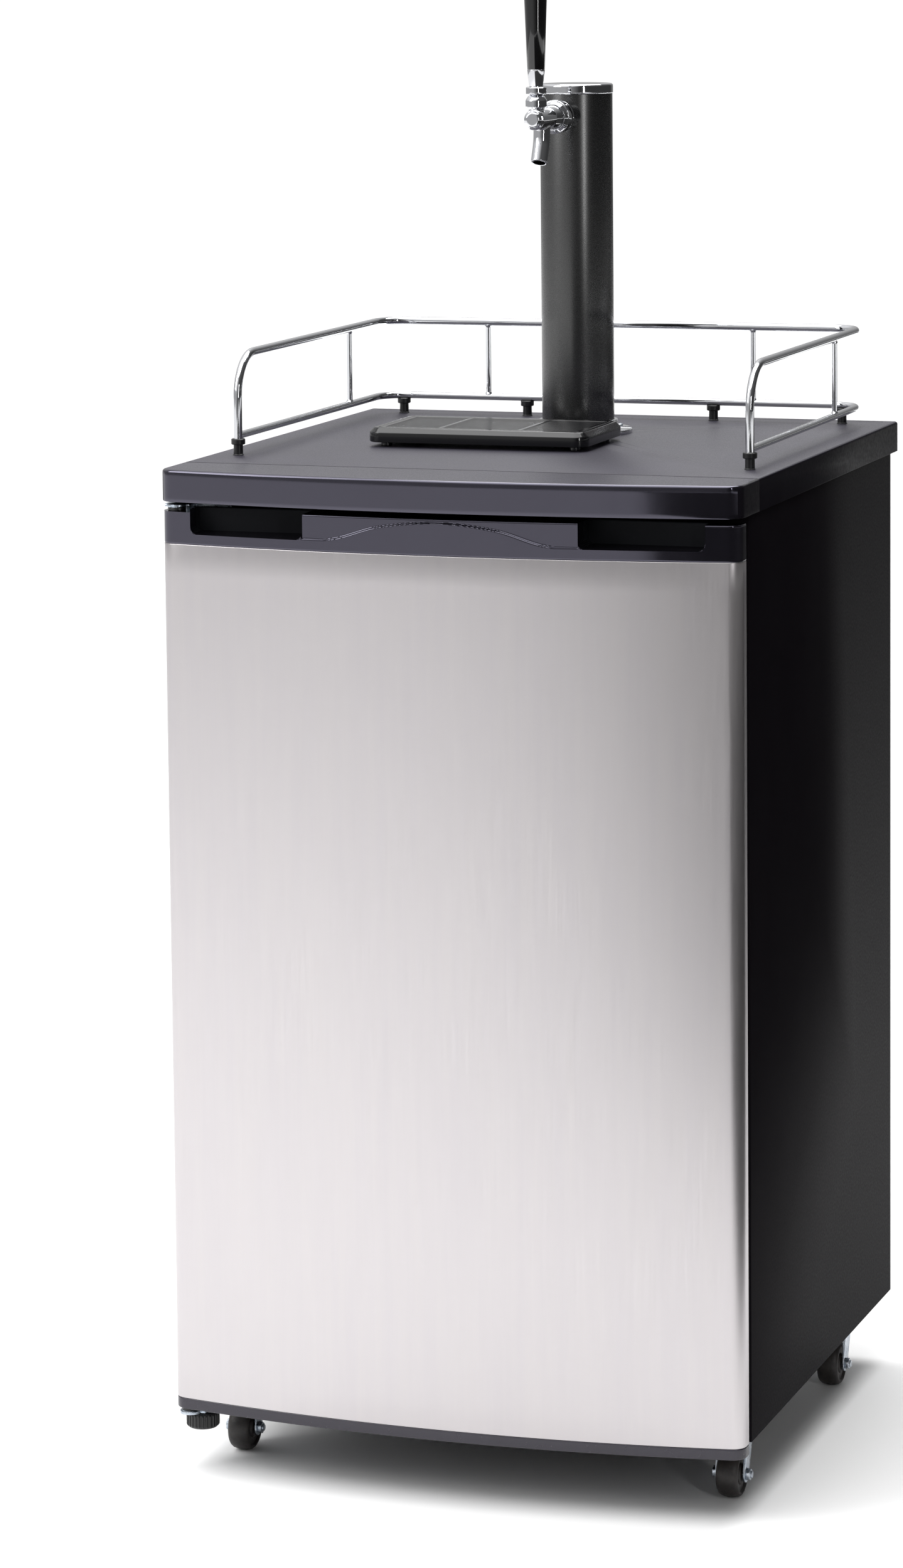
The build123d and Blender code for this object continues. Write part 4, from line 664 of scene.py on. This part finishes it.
footPlaces = [(x * mm, railBack) for x in rail["backFeetX"]] + [(-railX, railFront), (railX, railFront)]
for x, y in footPlaces:
    feet.append(turned("foot", [(r * mm, h * mm) for r, h in footOutline], (x, y, footBase), up, 28))
finished(joined("railFeet", feet), "cabinet", "black_plastic", "rail_feet")
print("guard rail built")


def softOutline(corners, radius):
    radii = radius if isinstance(radius, list) else [radius] * len(corners)
    path = roundPath([(r * mm, h * mm, 0) for r, h in corners], [value * mm for value in radii], steps=5)
    return [(p.x, p.y) for p in path]


tower = {"inside": 29, "radius": 31.75, "capRadius": 32.35, "capHeight": 8.5,
         "flange": 47.6, "flangeThick": 4, "collar": 34.75, "collarHeight": 12, "screwCircle": 40}
towerAt = middle("tower_column")
towerBase = (towerAt.x, towerAt.y, 0)
columnLow, columnHigh = (corner.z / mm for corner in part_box("tower_column"))
capTop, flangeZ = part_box("tower_cap")[1].z / mm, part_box("tower_flange")[0].z / mm
capZ, collarTop = capTop - tower["capHeight"], flangeZ + tower["collarHeight"]
columnShape = softOutline(
    [(tower["inside"], columnLow), (tower["radius"], columnLow), (tower["radius"], columnHigh),
     (tower["inside"], columnHigh)], 0.3)
column = turned("towerColumn", columnShape, towerBase, steps=96, ring=True)
finished(column, "cabinet", "tower_powder_coat", "tower_column")
capShape = softOutline(
    [(tower["inside"], capZ), (31.9, capZ), (tower["capRadius"], capZ + 0.5), (tower["capRadius"], capTop),
     (20, capTop)], [0, 0.2, 0.4, 2.2, 0])
finished(turned("towerCap", capShape, towerBase, steps=96), "cabinet", "chrome", "tower_cap")
flangeShape = softOutline(
    [(32, flangeZ), (tower["flange"], flangeZ), (tower["flange"], flangeZ + tower["flangeThick"]),
     (35.6, flangeZ + 4.3), (tower["collar"], collarTop), (31.8, collarTop),
     (31.8, flangeZ + tower["flangeThick"])], [0, 0.3, 1.6, 1.6, 1.8, 0.2, 0])
flange = turned("towerFlange", flangeShape, towerBase, steps=96, ring=True)
finished(flange, "cabinet", "chrome", "tower_flange")
print("tower built")


faucet = {"bore": 1136.0, "lever": 2.0, "bonnetLow": 1147.3, "spout": 7.3, "spoutBore": 5.4, "voxel": 0.42}
boreZ, leverY = faucet["bore"] * mm, faucet["lever"] * mm
barrel = turned("barrel", softOutline(
    [(3, -10), (5.6, -10), (6.8, -9), (6.8, -6), (9, -5), (9, 32), (10.5, 44), (10.5, 48), (12, 48), (12, 52),
     (4, 52)],
    [0, 0.5, 0.6, 0.4, 0.5, 3, 2, 0.3, 0.5, 0.5, 0]), (0, 0, boreZ), along, 64)
neckShape = softOutline([(6.5, 0), (6.5, 8.8), (8.2, 11.3), (5, 11.3)], [0, 1, 0.3, 0])
neck = turned("neck", neckShape, (0, leverY, boreZ), up, 64)
spoutCorners = [(0, 18 * mm, boreZ), (0, 16.5 * mm, boreZ - 20 * mm), (0, 8.8 * mm, boreZ - 37.4 * mm)]
spoutPath = roundPath(spoutCorners, 24 * mm, steps=10)
spout = tube("spout", spoutPath, faucet["spout"] * mm, 40)
body = joined("faucetBody", [barrel, neck, spout])
remesh = body.modifiers.new("Cast", "REMESH")
remesh.mode = "VOXEL"
remesh.voxel_size = faucet["voxel"] * mm
relax = body.modifiers.new("Fillets", "SMOOTH")
relax.factor, relax.iterations = 0.5, 14
applied(body)
mouth = spoutPath[-1] + (spoutPath[-1] - spoutPath[-2]).normalized() * 2 * mm
drill = tube("drill", [mouth, *reversed(spoutPath[2:])], faucet["spoutBore"] * mm, 32)
cut = body.modifiers.new("Bore", "BOOLEAN")
cut.operation, cut.object, cut.solver = "DIFFERENCE", drill, "EXACT"
applied(body)
bpy.data.objects.remove(drill)
finished(body, "cabinet", "chrome", "faucet_body", smooth=50)

domeAngles = [0.33 + 0.09 * i for i in range(13)]
dome = [(9.2, 0), (9.2, 4.6)] + [(9.7 * math.cos(a), 1.7 + 9.7 * math.sin(a)) for a in domeAngles]
domeShape = [(r * mm, h * mm) for r, h in dome]
bonnet = turned("bonnet", domeShape, (0, leverY, faucet["bonnetLow"] * mm), up, 64)
finished(bonnet, "cabinet", "chrome", "faucet_bonnet")
nutShape = softOutline(
    [(10.7, 46), (11.4, 46), (13.4, 49), (14.6, 49.4), (14.6, 60), (13.6, 61), (11.1, 61)],
    [0, 0.4, 0.4, 0.7, 0.5, 0.3, 0])
nut = turned("couplingNut", nutShape, (0, 0, boreZ), along, 96, ring=True)
finished(nut, "cabinet", "chrome", "coupling_nut")
washerShape = softOutline(
    [(11.05, 63), (13, 63), (14, 64), (14, 67), (13, 70), (13, 86.3), (11.05, 86.3)],
    [0, 0.3, 0.5, 0.8, 1, 0, 0])
washer = turned("shankWasher", washerShape, (0, 0, boreZ), along, 72, ring=True)
finished(washer, "cabinet", "chrome", "shank_flange")

pivot = (0, leverY, boreZ + 13 * mm)
ballAngles = [-1.5 + 0.15 * i for i in range(21)]
rodShape = softOutline([(1, 2), (2.4, 2), (2.4, 35.8), (1, 35.8)], 0.3)
tipShape = softOutline([(0.6, -12.8), (1.9, -12), (1.9, -3), (1, -3)], [0, 0.9, 0, 0])
leverParts = [
    turned("rod", rodShape, pivot, up, 24),
    turned("ball", [(4.6 * math.cos(a) * mm, 4.6 * math.sin(a) * mm) for a in ballAngles], pivot, up, 40),
    turned("tip", tipShape, pivot, up, 24),
]
finished(joined("leverRod", leverParts), "tap_lever", "chrome", "faucet_lever")
collarShape = softOutline(
    [(5.4, 0), (8.1, 0), (8.8, 0.7), (8.8, 5.8), (8.1, 6.5), (2.4, 6.5)], [0, 0.2, 0.3, 0.3, 0.3, 0])
ferruleShape = softOutline([(2.5, 0), (5.9, 0), (7.6, 15), (2.5, 15)], [0, 0.5, 0.4, 0])
handleShape = softOutline([(2.5, 0), (7.5, 0), (9.9, 65), (1.0, 65)], [0, 0.5, 5.6, 0])
collarLow = boreZ + 21.3 * mm
ferruleLow, handleLow = collarLow + 6.5 * mm, collarLow + 21.5 * mm
collar = turned("leverCollar", collarShape, (0, leverY, collarLow), up, 64, ring=True)
finished(collar, "tap_lever", "chrome", "lever_collar")
ferrule = turned("ferrule", ferruleShape, (0, leverY, ferruleLow), up, 64, ring=True)
finished(ferrule, "tap_lever", "chrome", "handle_ferrule")
handle = turned("tapHandle", handleShape, (0, leverY, handleLow), up, 72)
finished(handle, "tap_lever", "handle_phenolic", "tap_handle")
print("faucet built")


screw = {"radius": 4.0, "height": 1.6, "hingeBase": ((-220, -203, 62), (-202, -203, 62)),
         "hingeTop": ((-220, -222.5, 818.9), (-204, -222.5, 818.9))}


def screwHead(centre, axis):
    # a domed head with a drilled socket; shares of the radius and height give its outline
    shape = [(1, 0), (1, 0.25), (0.93, 0.55), (0.75, 0.83), (0.5, 1), (0.4, 1), (0.36, 0.4)]
    outline = [(r * screw["radius"] * mm, h * screw["height"] * mm) for r, h in shape]
    return turned("head", outline, [value * mm for value in centre], axis, 32)


heads = [screwHead(place, -up) for place in screw["hingeBase"]]
heads += [screwHead(place, -along) for place in screw["hingeTop"]]
flangeHeads = repeated(
    "flangeScrews", screwHead((0, 0, 0), up), finishes["zinc_plate"], 4, radius=tower["screwCircle"] * mm)
flangeTop = (towerAt.x, towerAt.y, (flangeZ + tower["flangeThick"]) * mm)
moved(flangeHeads, Matrix.Translation(flangeTop) @ Matrix.Rotation(math.pi / 4, 4, "Z"))
finished(joined("screwHeads", heads + [flangeHeads]), "cabinet", "zinc_plate", "screws")


trayLow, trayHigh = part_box("drip_tray")
grilleLow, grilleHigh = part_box("drip_grille")
tray = {"corner": 12, "footHeight": 4, "footInset": 14, "ribPitch": 2.0, "ribs": 44}
traySize = (trayHigh.x - trayLow.x, trayHigh.y - trayLow.y)
trayAt = (trayLow + trayHigh) / 2
trayBase, trayRim = trayLow.z / mm + tray["footHeight"], trayHigh.z / mm
trayProfile = [
    (1.6, trayBase), (1.0, trayBase), (0.3, trayBase + 0.4), (0, trayBase + 1.1), (0, trayRim - 4.4),
    (0.15, trayRim - 4.0), (0.5, trayRim - 3.6), (3.5, trayRim - 0.6), (3.9, trayRim - 0.15), (4.3, trayRim),
    (7.6, trayRim), (7.9, trayRim - 0.1), (8.0, trayRim - 0.4), (8.0, trayRim - 2.5), (10.4, trayRim - 2.5),
    (10.6, trayRim - 2.8), (11.2, trayBase + 4.5), (12.5, trayBase + 2.9), (14, trayBase + 2.5)]
panProfile = [(inset * mm, height * mm) for inset, height in trayProfile]
trayPieces = [stackedPlate("pan", trayAt, traySize, tray["corner"] * mm, panProfile, steps=10)]
padShape = softOutline([(1, 0), (5, 0), (4.6, 4.2), (1, 4.2)], [0, 0.8, 0, 0])
padX, padY = (size / 2 - tray["footInset"] * mm for size in traySize)
for sideX in (-1, 1):
    for sideY in (-1, 1):
        spot = (trayAt.x + sideX * padX, trayAt.y + sideY * padY, trayLow.z)
        trayPieces.append(turned("pad", padShape, spot, up, 32))
ribSection = ((-0.3, -4.3), (0.15, -4.05), (-3.55, -0.2), (-4.2, -0.5))
ribFaces = [(0, 1, 2, 3), (4, 7, 6, 5), (0, 4, 5, 1), (1, 5, 6, 2), (2, 6, 7, 3), (3, 7, 4, 0)]
for end in (-1, 1):
    # fine ribs down the bevel at each end
    verts = [Vector((end * a, y, b)) * mm for y in (-0.45, 0.45) for a, b in ribSection]
    rib = newPiece("rib", verts, ribFaces)
    row = repeated("bevelRibs", rib, trayFinish, tray["ribs"], spacing=(0, tray["ribPitch"] * mm, 0))
    start = trayAt.y - (tray["ribs"] - 1) * tray["ribPitch"] * mm / 2
    trayPieces.append(moved(row, Matrix.Translation((trayAt.x + end * traySize[0] / 2, start, trayHigh.z))))
trayPan = joined("dripTray", trayPieces)
finished(trayPan, "tray", "black_plastic", "drip_tray", material=trayFinish)

grille = {"rim": 5.0, "corner": 6, "pitch": 3.5, "barWide": 2.1, "bar": 2.0, "webs": (-36, 36)}
grilleSize = (grilleHigh.x - grilleLow.x, grilleHigh.y - grilleLow.y)
grilleAt = (grilleLow + grilleHigh) / 2
under, over = grilleLow.z / mm, grilleHigh.z / mm
edges = [(0, under + 0.2), (0, over - 0.3), (0.3, over), (4.7, over), (5, over - 0.3), (5, under + 0.2),
         (4.8, under), (0.2, under)]
rimLoops = [roundedRing(grilleAt, grilleSize, grille["corner"] * mm, i * mm, h * mm) for i, h in edges]
grillePieces = [newPiece("grilleRim", *stitchLoops(rimLoops, closedRun=True))]
barCount = int((grilleSize[1] / mm - 2 * grille["rim"]) / grille["pitch"]) + 1
barLength = grilleSize[0] / 2 - 4 * mm


def rounded(width, height, corner):
    # a small rectangle with rounded corners, as the section of a bar
    x, y = width * mm / 2, height * mm / 2
    loop = roundPath([(-x, -y, 0), (x, -y, 0), (x, y, 0), (-x, y, 0)], corner * mm, closed=True, steps=2)
    return [(p.x, p.y) for p in loop]


barSection = rounded(grille["barWide"], grille["bar"], 0.5)
bar = tube("bar", [(-barLength, 0, 0), (barLength, 0, 0)], 1, flat=(0, 1, 0), profile=barSection)
bars = repeated("grilleBars", bar, trayFinish, barCount, spacing=(0, grille["pitch"] * mm, 0))
firstBar = grilleAt.y - (barCount - 1) * grille["pitch"] * mm / 2
grillePieces.append(moved(bars, Matrix.Translation((grilleAt.x, firstBar, (over - 1.25) * mm))))
for offset in grille["webs"]:
    x, z = grilleAt.x + offset * mm, (over - 1.2) * mm
    webPath = [(x, grilleLow.y + 4 * mm, z), (x, grilleHigh.y - 4 * mm, z)]
    grillePieces.append(tube("web", webPath, 1, flat=(0, 0, 1), profile=rounded(4.4, 2.3, 0.4)))
grid = joined("dripGrille", grillePieces)
finished(grid, "grille", "black_plastic", "drip_grille", material=trayFinish)
print("drip tray built")


knobLow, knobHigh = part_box("leveller_foot")
knobAt = (knobLow + knobHigh) / 2
knob = {"ribCircle": 13.2, "ribs": 26}
knobShape = softOutline(
    [(4.1, 10), (4.1, 14), (12.6, 14), (13.3, 12), (13.4, 2), (12.2, 0), (2, 0)], [0, 0.3, 1.2, 1, 2, 1, 0])
core = turned("knobCore", knobShape, (knobAt.x, knobAt.y, knobLow.z), up, 64)
ribShape = softOutline([(0.3, 1.2), (1.0, 2.2), (1.0, 11.2), (0.3, 12.6)], [0, 1, 1, 0])
ridge = turned("knobRib", ribShape, (0, 0, 0), up, 10)
knobRibs = repeated("knobRibs", ridge, finishes["black_plastic"], knob["ribs"], radius=knob["ribCircle"] * mm)
moved(knobRibs, Matrix.Translation((knobAt.x, knobAt.y, knobLow.z)))
finished(joined("levellingKnob", [core, knobRibs]), "foot_knob", "black_plastic", "leveller_foot")

# half the wheel's outline, from the bore over the dished side to the crown of the tread
wheelHalf = [(3.1, -9.5), (7.4, -9.5), (8.2, -9.0), (9.2, -7.6), (14.3, -7.4), (15.2, -8.2), (15.8, -9.4),
             (16.6, -9.5), (17.6, -8.9), (18.9, -7.0), (19.6, -4.0), (19.95, -1.5), (20.0, 0.0)]
wheelShape = [(r * mm, h * mm) for r, h in wheelHalf + [(r, -h) for r, h in reversed(wheelHalf[:-1])]]
for place in ("front_left", "front_right", "back_left", "back_right"):
    wheelNode, forkNode = "caster_wheel_" + place, "caster_fork_" + place
    tyre = turned("tyre_" + place, wheelShape, middle(wheelNode), across, 72, ring=True)
    finished(tyre, "wheel_" + place, "wheel_rubber", wheelNode, smooth=40)
    finished(softCopy("fork_" + place, forkNode, 0.45, 3), "swivel_" + place, "zinc_plate", forkNode)
print("foot and casters built")


coilLow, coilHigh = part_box("condenser_coil")
coil = {"radius": 2.4, "runs": 9, "pitch": 56, "wires": 46, "wire": 0.75, "overhang": 8, "margin": 35}
coilX, coilY = coilHigh.x - coil["radius"] * mm, middle("condenser_coil").y
coilTop, coilPitch = coilHigh.z - coil["radius"] * mm, coil["pitch"] * mm
route = [(-coilX, coilY, coilLow.z)]
for run in range(coil["runs"]):
    z = coilTop - (coil["runs"] - 1 - run) * coilPitch
    turn = -1 if run % 2 == 0 else 1
    route += [(turn * coilX, coilY, z), (-turn * coilX, coilY, z)]
tubing = tube("coilTube", roundPath(route, coilPitch / 2 - 1 * mm, steps=10), coil["radius"] * mm, 14)
wireEnds = (coilTop - (coil["runs"] - 1) * coilPitch - coil["overhang"] * mm, coilTop + coil["overhang"] * mm)
wire = tube("wire", [(0, 0, z) for z in wireEnds], coil["wire"] * mm, 8)
wireSpan = 2 * (coilX - coil["margin"] * mm)
wireDepth = (coil["radius"] + 0.5) * mm         # the wires lie against the tube, front and back
wires = repeated(
    "coilWires", wire, finishes["condenser_enamel"], coil["wires"],
    spacing=(wireSpan / (coil["wires"] - 1), 0, 0), rows=2, rowSpacing=(0, 2 * wireDepth, 0))
moved(wires, Matrix.Translation((-wireSpan / 2, coilY - wireDepth, 0)))
finished(joined("condenser", [tubing, wires]), "cabinet", "condenser_enamel", "condenser_coil")
print("condenser built")


scene = bpy.context.scene
scene.view_settings.view_transform = "Standard"

studio = {"floorHalf": 12, "paper": "#f4f4f4", "backdrop": 1.05,
          "sideFade": (-0.3, 0.45, 1.0, 0.1), "heightFade": (0.1, 0.6, 0.45, 1.0),
          "card": ((-0.3, -11), (8, -11), (8, 10), (1.0, 10), (0.8, -1.1), (0.3, -2.0)), "cardHeight": 0.002}


def flatSheet(name, corners, height, material):
    mesh = bpy.data.meshes.new(name)
    mesh.from_pydata([(x, y, height) for x, y in corners], [], [tuple(range(len(corners)))])
    mesh.materials.append(material)
    sheet = bpy.data.objects.new(name, mesh)
    scene.collection.objects.link(sheet)
    return sheet


paper = bpy.data.materials.new("Studio paper")
paper.use_nodes = True
paperTree = paper.node_tree
paperTree.nodes.clear()
matte = addNode(paperTree, "ShaderNodeBsdfPrincipled",
                {"Base Color": hexColour(studio["paper"]), "Roughness": 0.9})
addNode(paperTree, "ShaderNodeOutputMaterial", {"Surface": matte.outputs[0]})
half = studio["floorHalf"]
flatSheet("studioFloor", ((-half, -half), (half, -half), (half, half), (-half, half)), 0, paper)
# a black card on the floor at the right, which only reflections see: it darkens that side of the steel
felt = makeMaterial("Black felt", {"colours": ("#101010", "#141414"), "grain": 2, "rough": (0.9, 1.0)})
card = flatSheet("blackCard", studio["card"], studio["cardHeight"], felt)
card.visible_camera = card.visible_shadow = False

world = bpy.data.worlds.new("Studio")
scene.world = world
world.use_nodes = True
sky = world.node_tree
sky.nodes.clear()


def fade(value, fromLow, fromHigh, toLow, toHigh):
    ends = {"Value": value, "From Min": fromLow, "From Max": fromHigh, "To Min": toLow, "To Max": toHigh}
    return addNode(sky, "ShaderNodeMapRange", ends).outputs[0]


# white behind the object; the surroundings glow most at the left and from above
seen = addNode(sky, "ShaderNodeLightPath").outputs["Is Camera Ray"]
white = addNode(sky, "ShaderNodeBackground", {"Color": (1, 1, 1, 1), "Strength": studio["backdrop"]})
direction = addNode(sky, "ShaderNodeTexCoord").outputs["Generated"]
axes = addNode(sky, "ShaderNodeSeparateXYZ", {0: direction})
sideGlow = fade(axes.outputs[0], *studio["sideFade"])
heightGlow = fade(axes.outputs[2], *studio["heightFade"])
strength = addNode(sky, "ShaderNodeMath", {0: sideGlow, 1: heightGlow}, operation="MULTIPLY")
glow = addNode(sky, "ShaderNodeBackground", {"Color": (1, 1, 1, 1), "Strength": strength.outputs[0]})
both = addNode(sky, "ShaderNodeMixShader", {0: seen, 1: glow.outputs[0], 2: white.outputs[0]})
addNode(sky, "ShaderNodeOutputWorld", {"Surface": both.outputs[0]})

lamps = {         # place, what it points at, size in metres, power in watts
    "keyLight": ((-2.4, -2.2, 2.6), (0, 0, 0.9), (1.6, 2.0), 60),
    "topLight": ((0.1, 0.9, 3.2), (0, 0, 0.9), (2.2, 1.4), 60),
    "stripLight": ((2.4, -2.6, 1.7), (0, 0.1, 1.0), (0.2, 1.6), 16),
}
for name, (place, target, size, power) in lamps.items():
    data = bpy.data.lights.new(name, "AREA")
    data.shape = "RECTANGLE"
    data.size, data.size_y = size
    data.energy = power
    light = bpy.data.objects.new(name, data)
    scene.collection.objects.link(light)
    light.location = place
    light.rotation_euler = (Vector(target) - Vector(place)).to_track_quat("-Z", "Y").to_euler()
overhead = {"energy": 2.3, "angle": 60, "towards": (0.1, 0.24, -1.0)}
sun = bpy.data.lights.new("overheadGlow", "SUN")
sun.energy, sun.angle = overhead["energy"], math.radians(overhead["angle"])
sunLamp = bpy.data.objects.new("overheadGlow", sun)
scene.collection.objects.link(sunLamp)
sunLamp.rotation_euler = Vector(overhead["towards"]).to_track_quat("-Z", "Y").to_euler()

cameraData = bpy.data.cameras.new("camera")
camera = bpy.data.objects.new("camera", cameraData)
scene.collection.objects.link(camera)
shot = {"yaw": 18.979, "pitch": 6.065, "roll": -0.544, "place": (1.301, -4.0118, 1.3104), "focal": 113.21,
        "sensor": 36, "shift": -0.22}
yaw, pitch, roll = (math.radians(shot[name]) for name in ("yaw", "pitch", "roll"))
forward = Vector((-math.sin(yaw) * math.cos(pitch), math.cos(yaw) * math.cos(pitch), -math.sin(pitch)))
level = Vector((math.cos(yaw), math.sin(yaw), 0))
above = level.cross(forward)
cameraX = level * math.cos(roll) + above * math.sin(roll)
cameraY = above * math.cos(roll) - level * math.sin(roll)
turnedTo = Matrix((cameraX, cameraY, -forward)).transposed().to_4x4()
camera.matrix_world = Matrix.Translation(shot["place"]) @ turnedTo
cameraData.lens, cameraData.sensor_width, cameraData.shift_y = shot["focal"], shot["sensor"], shot["shift"]
cameraData.dof.use_dof = False
scene.camera = camera
print("light and camera set")

bpy.context.view_layer.update()
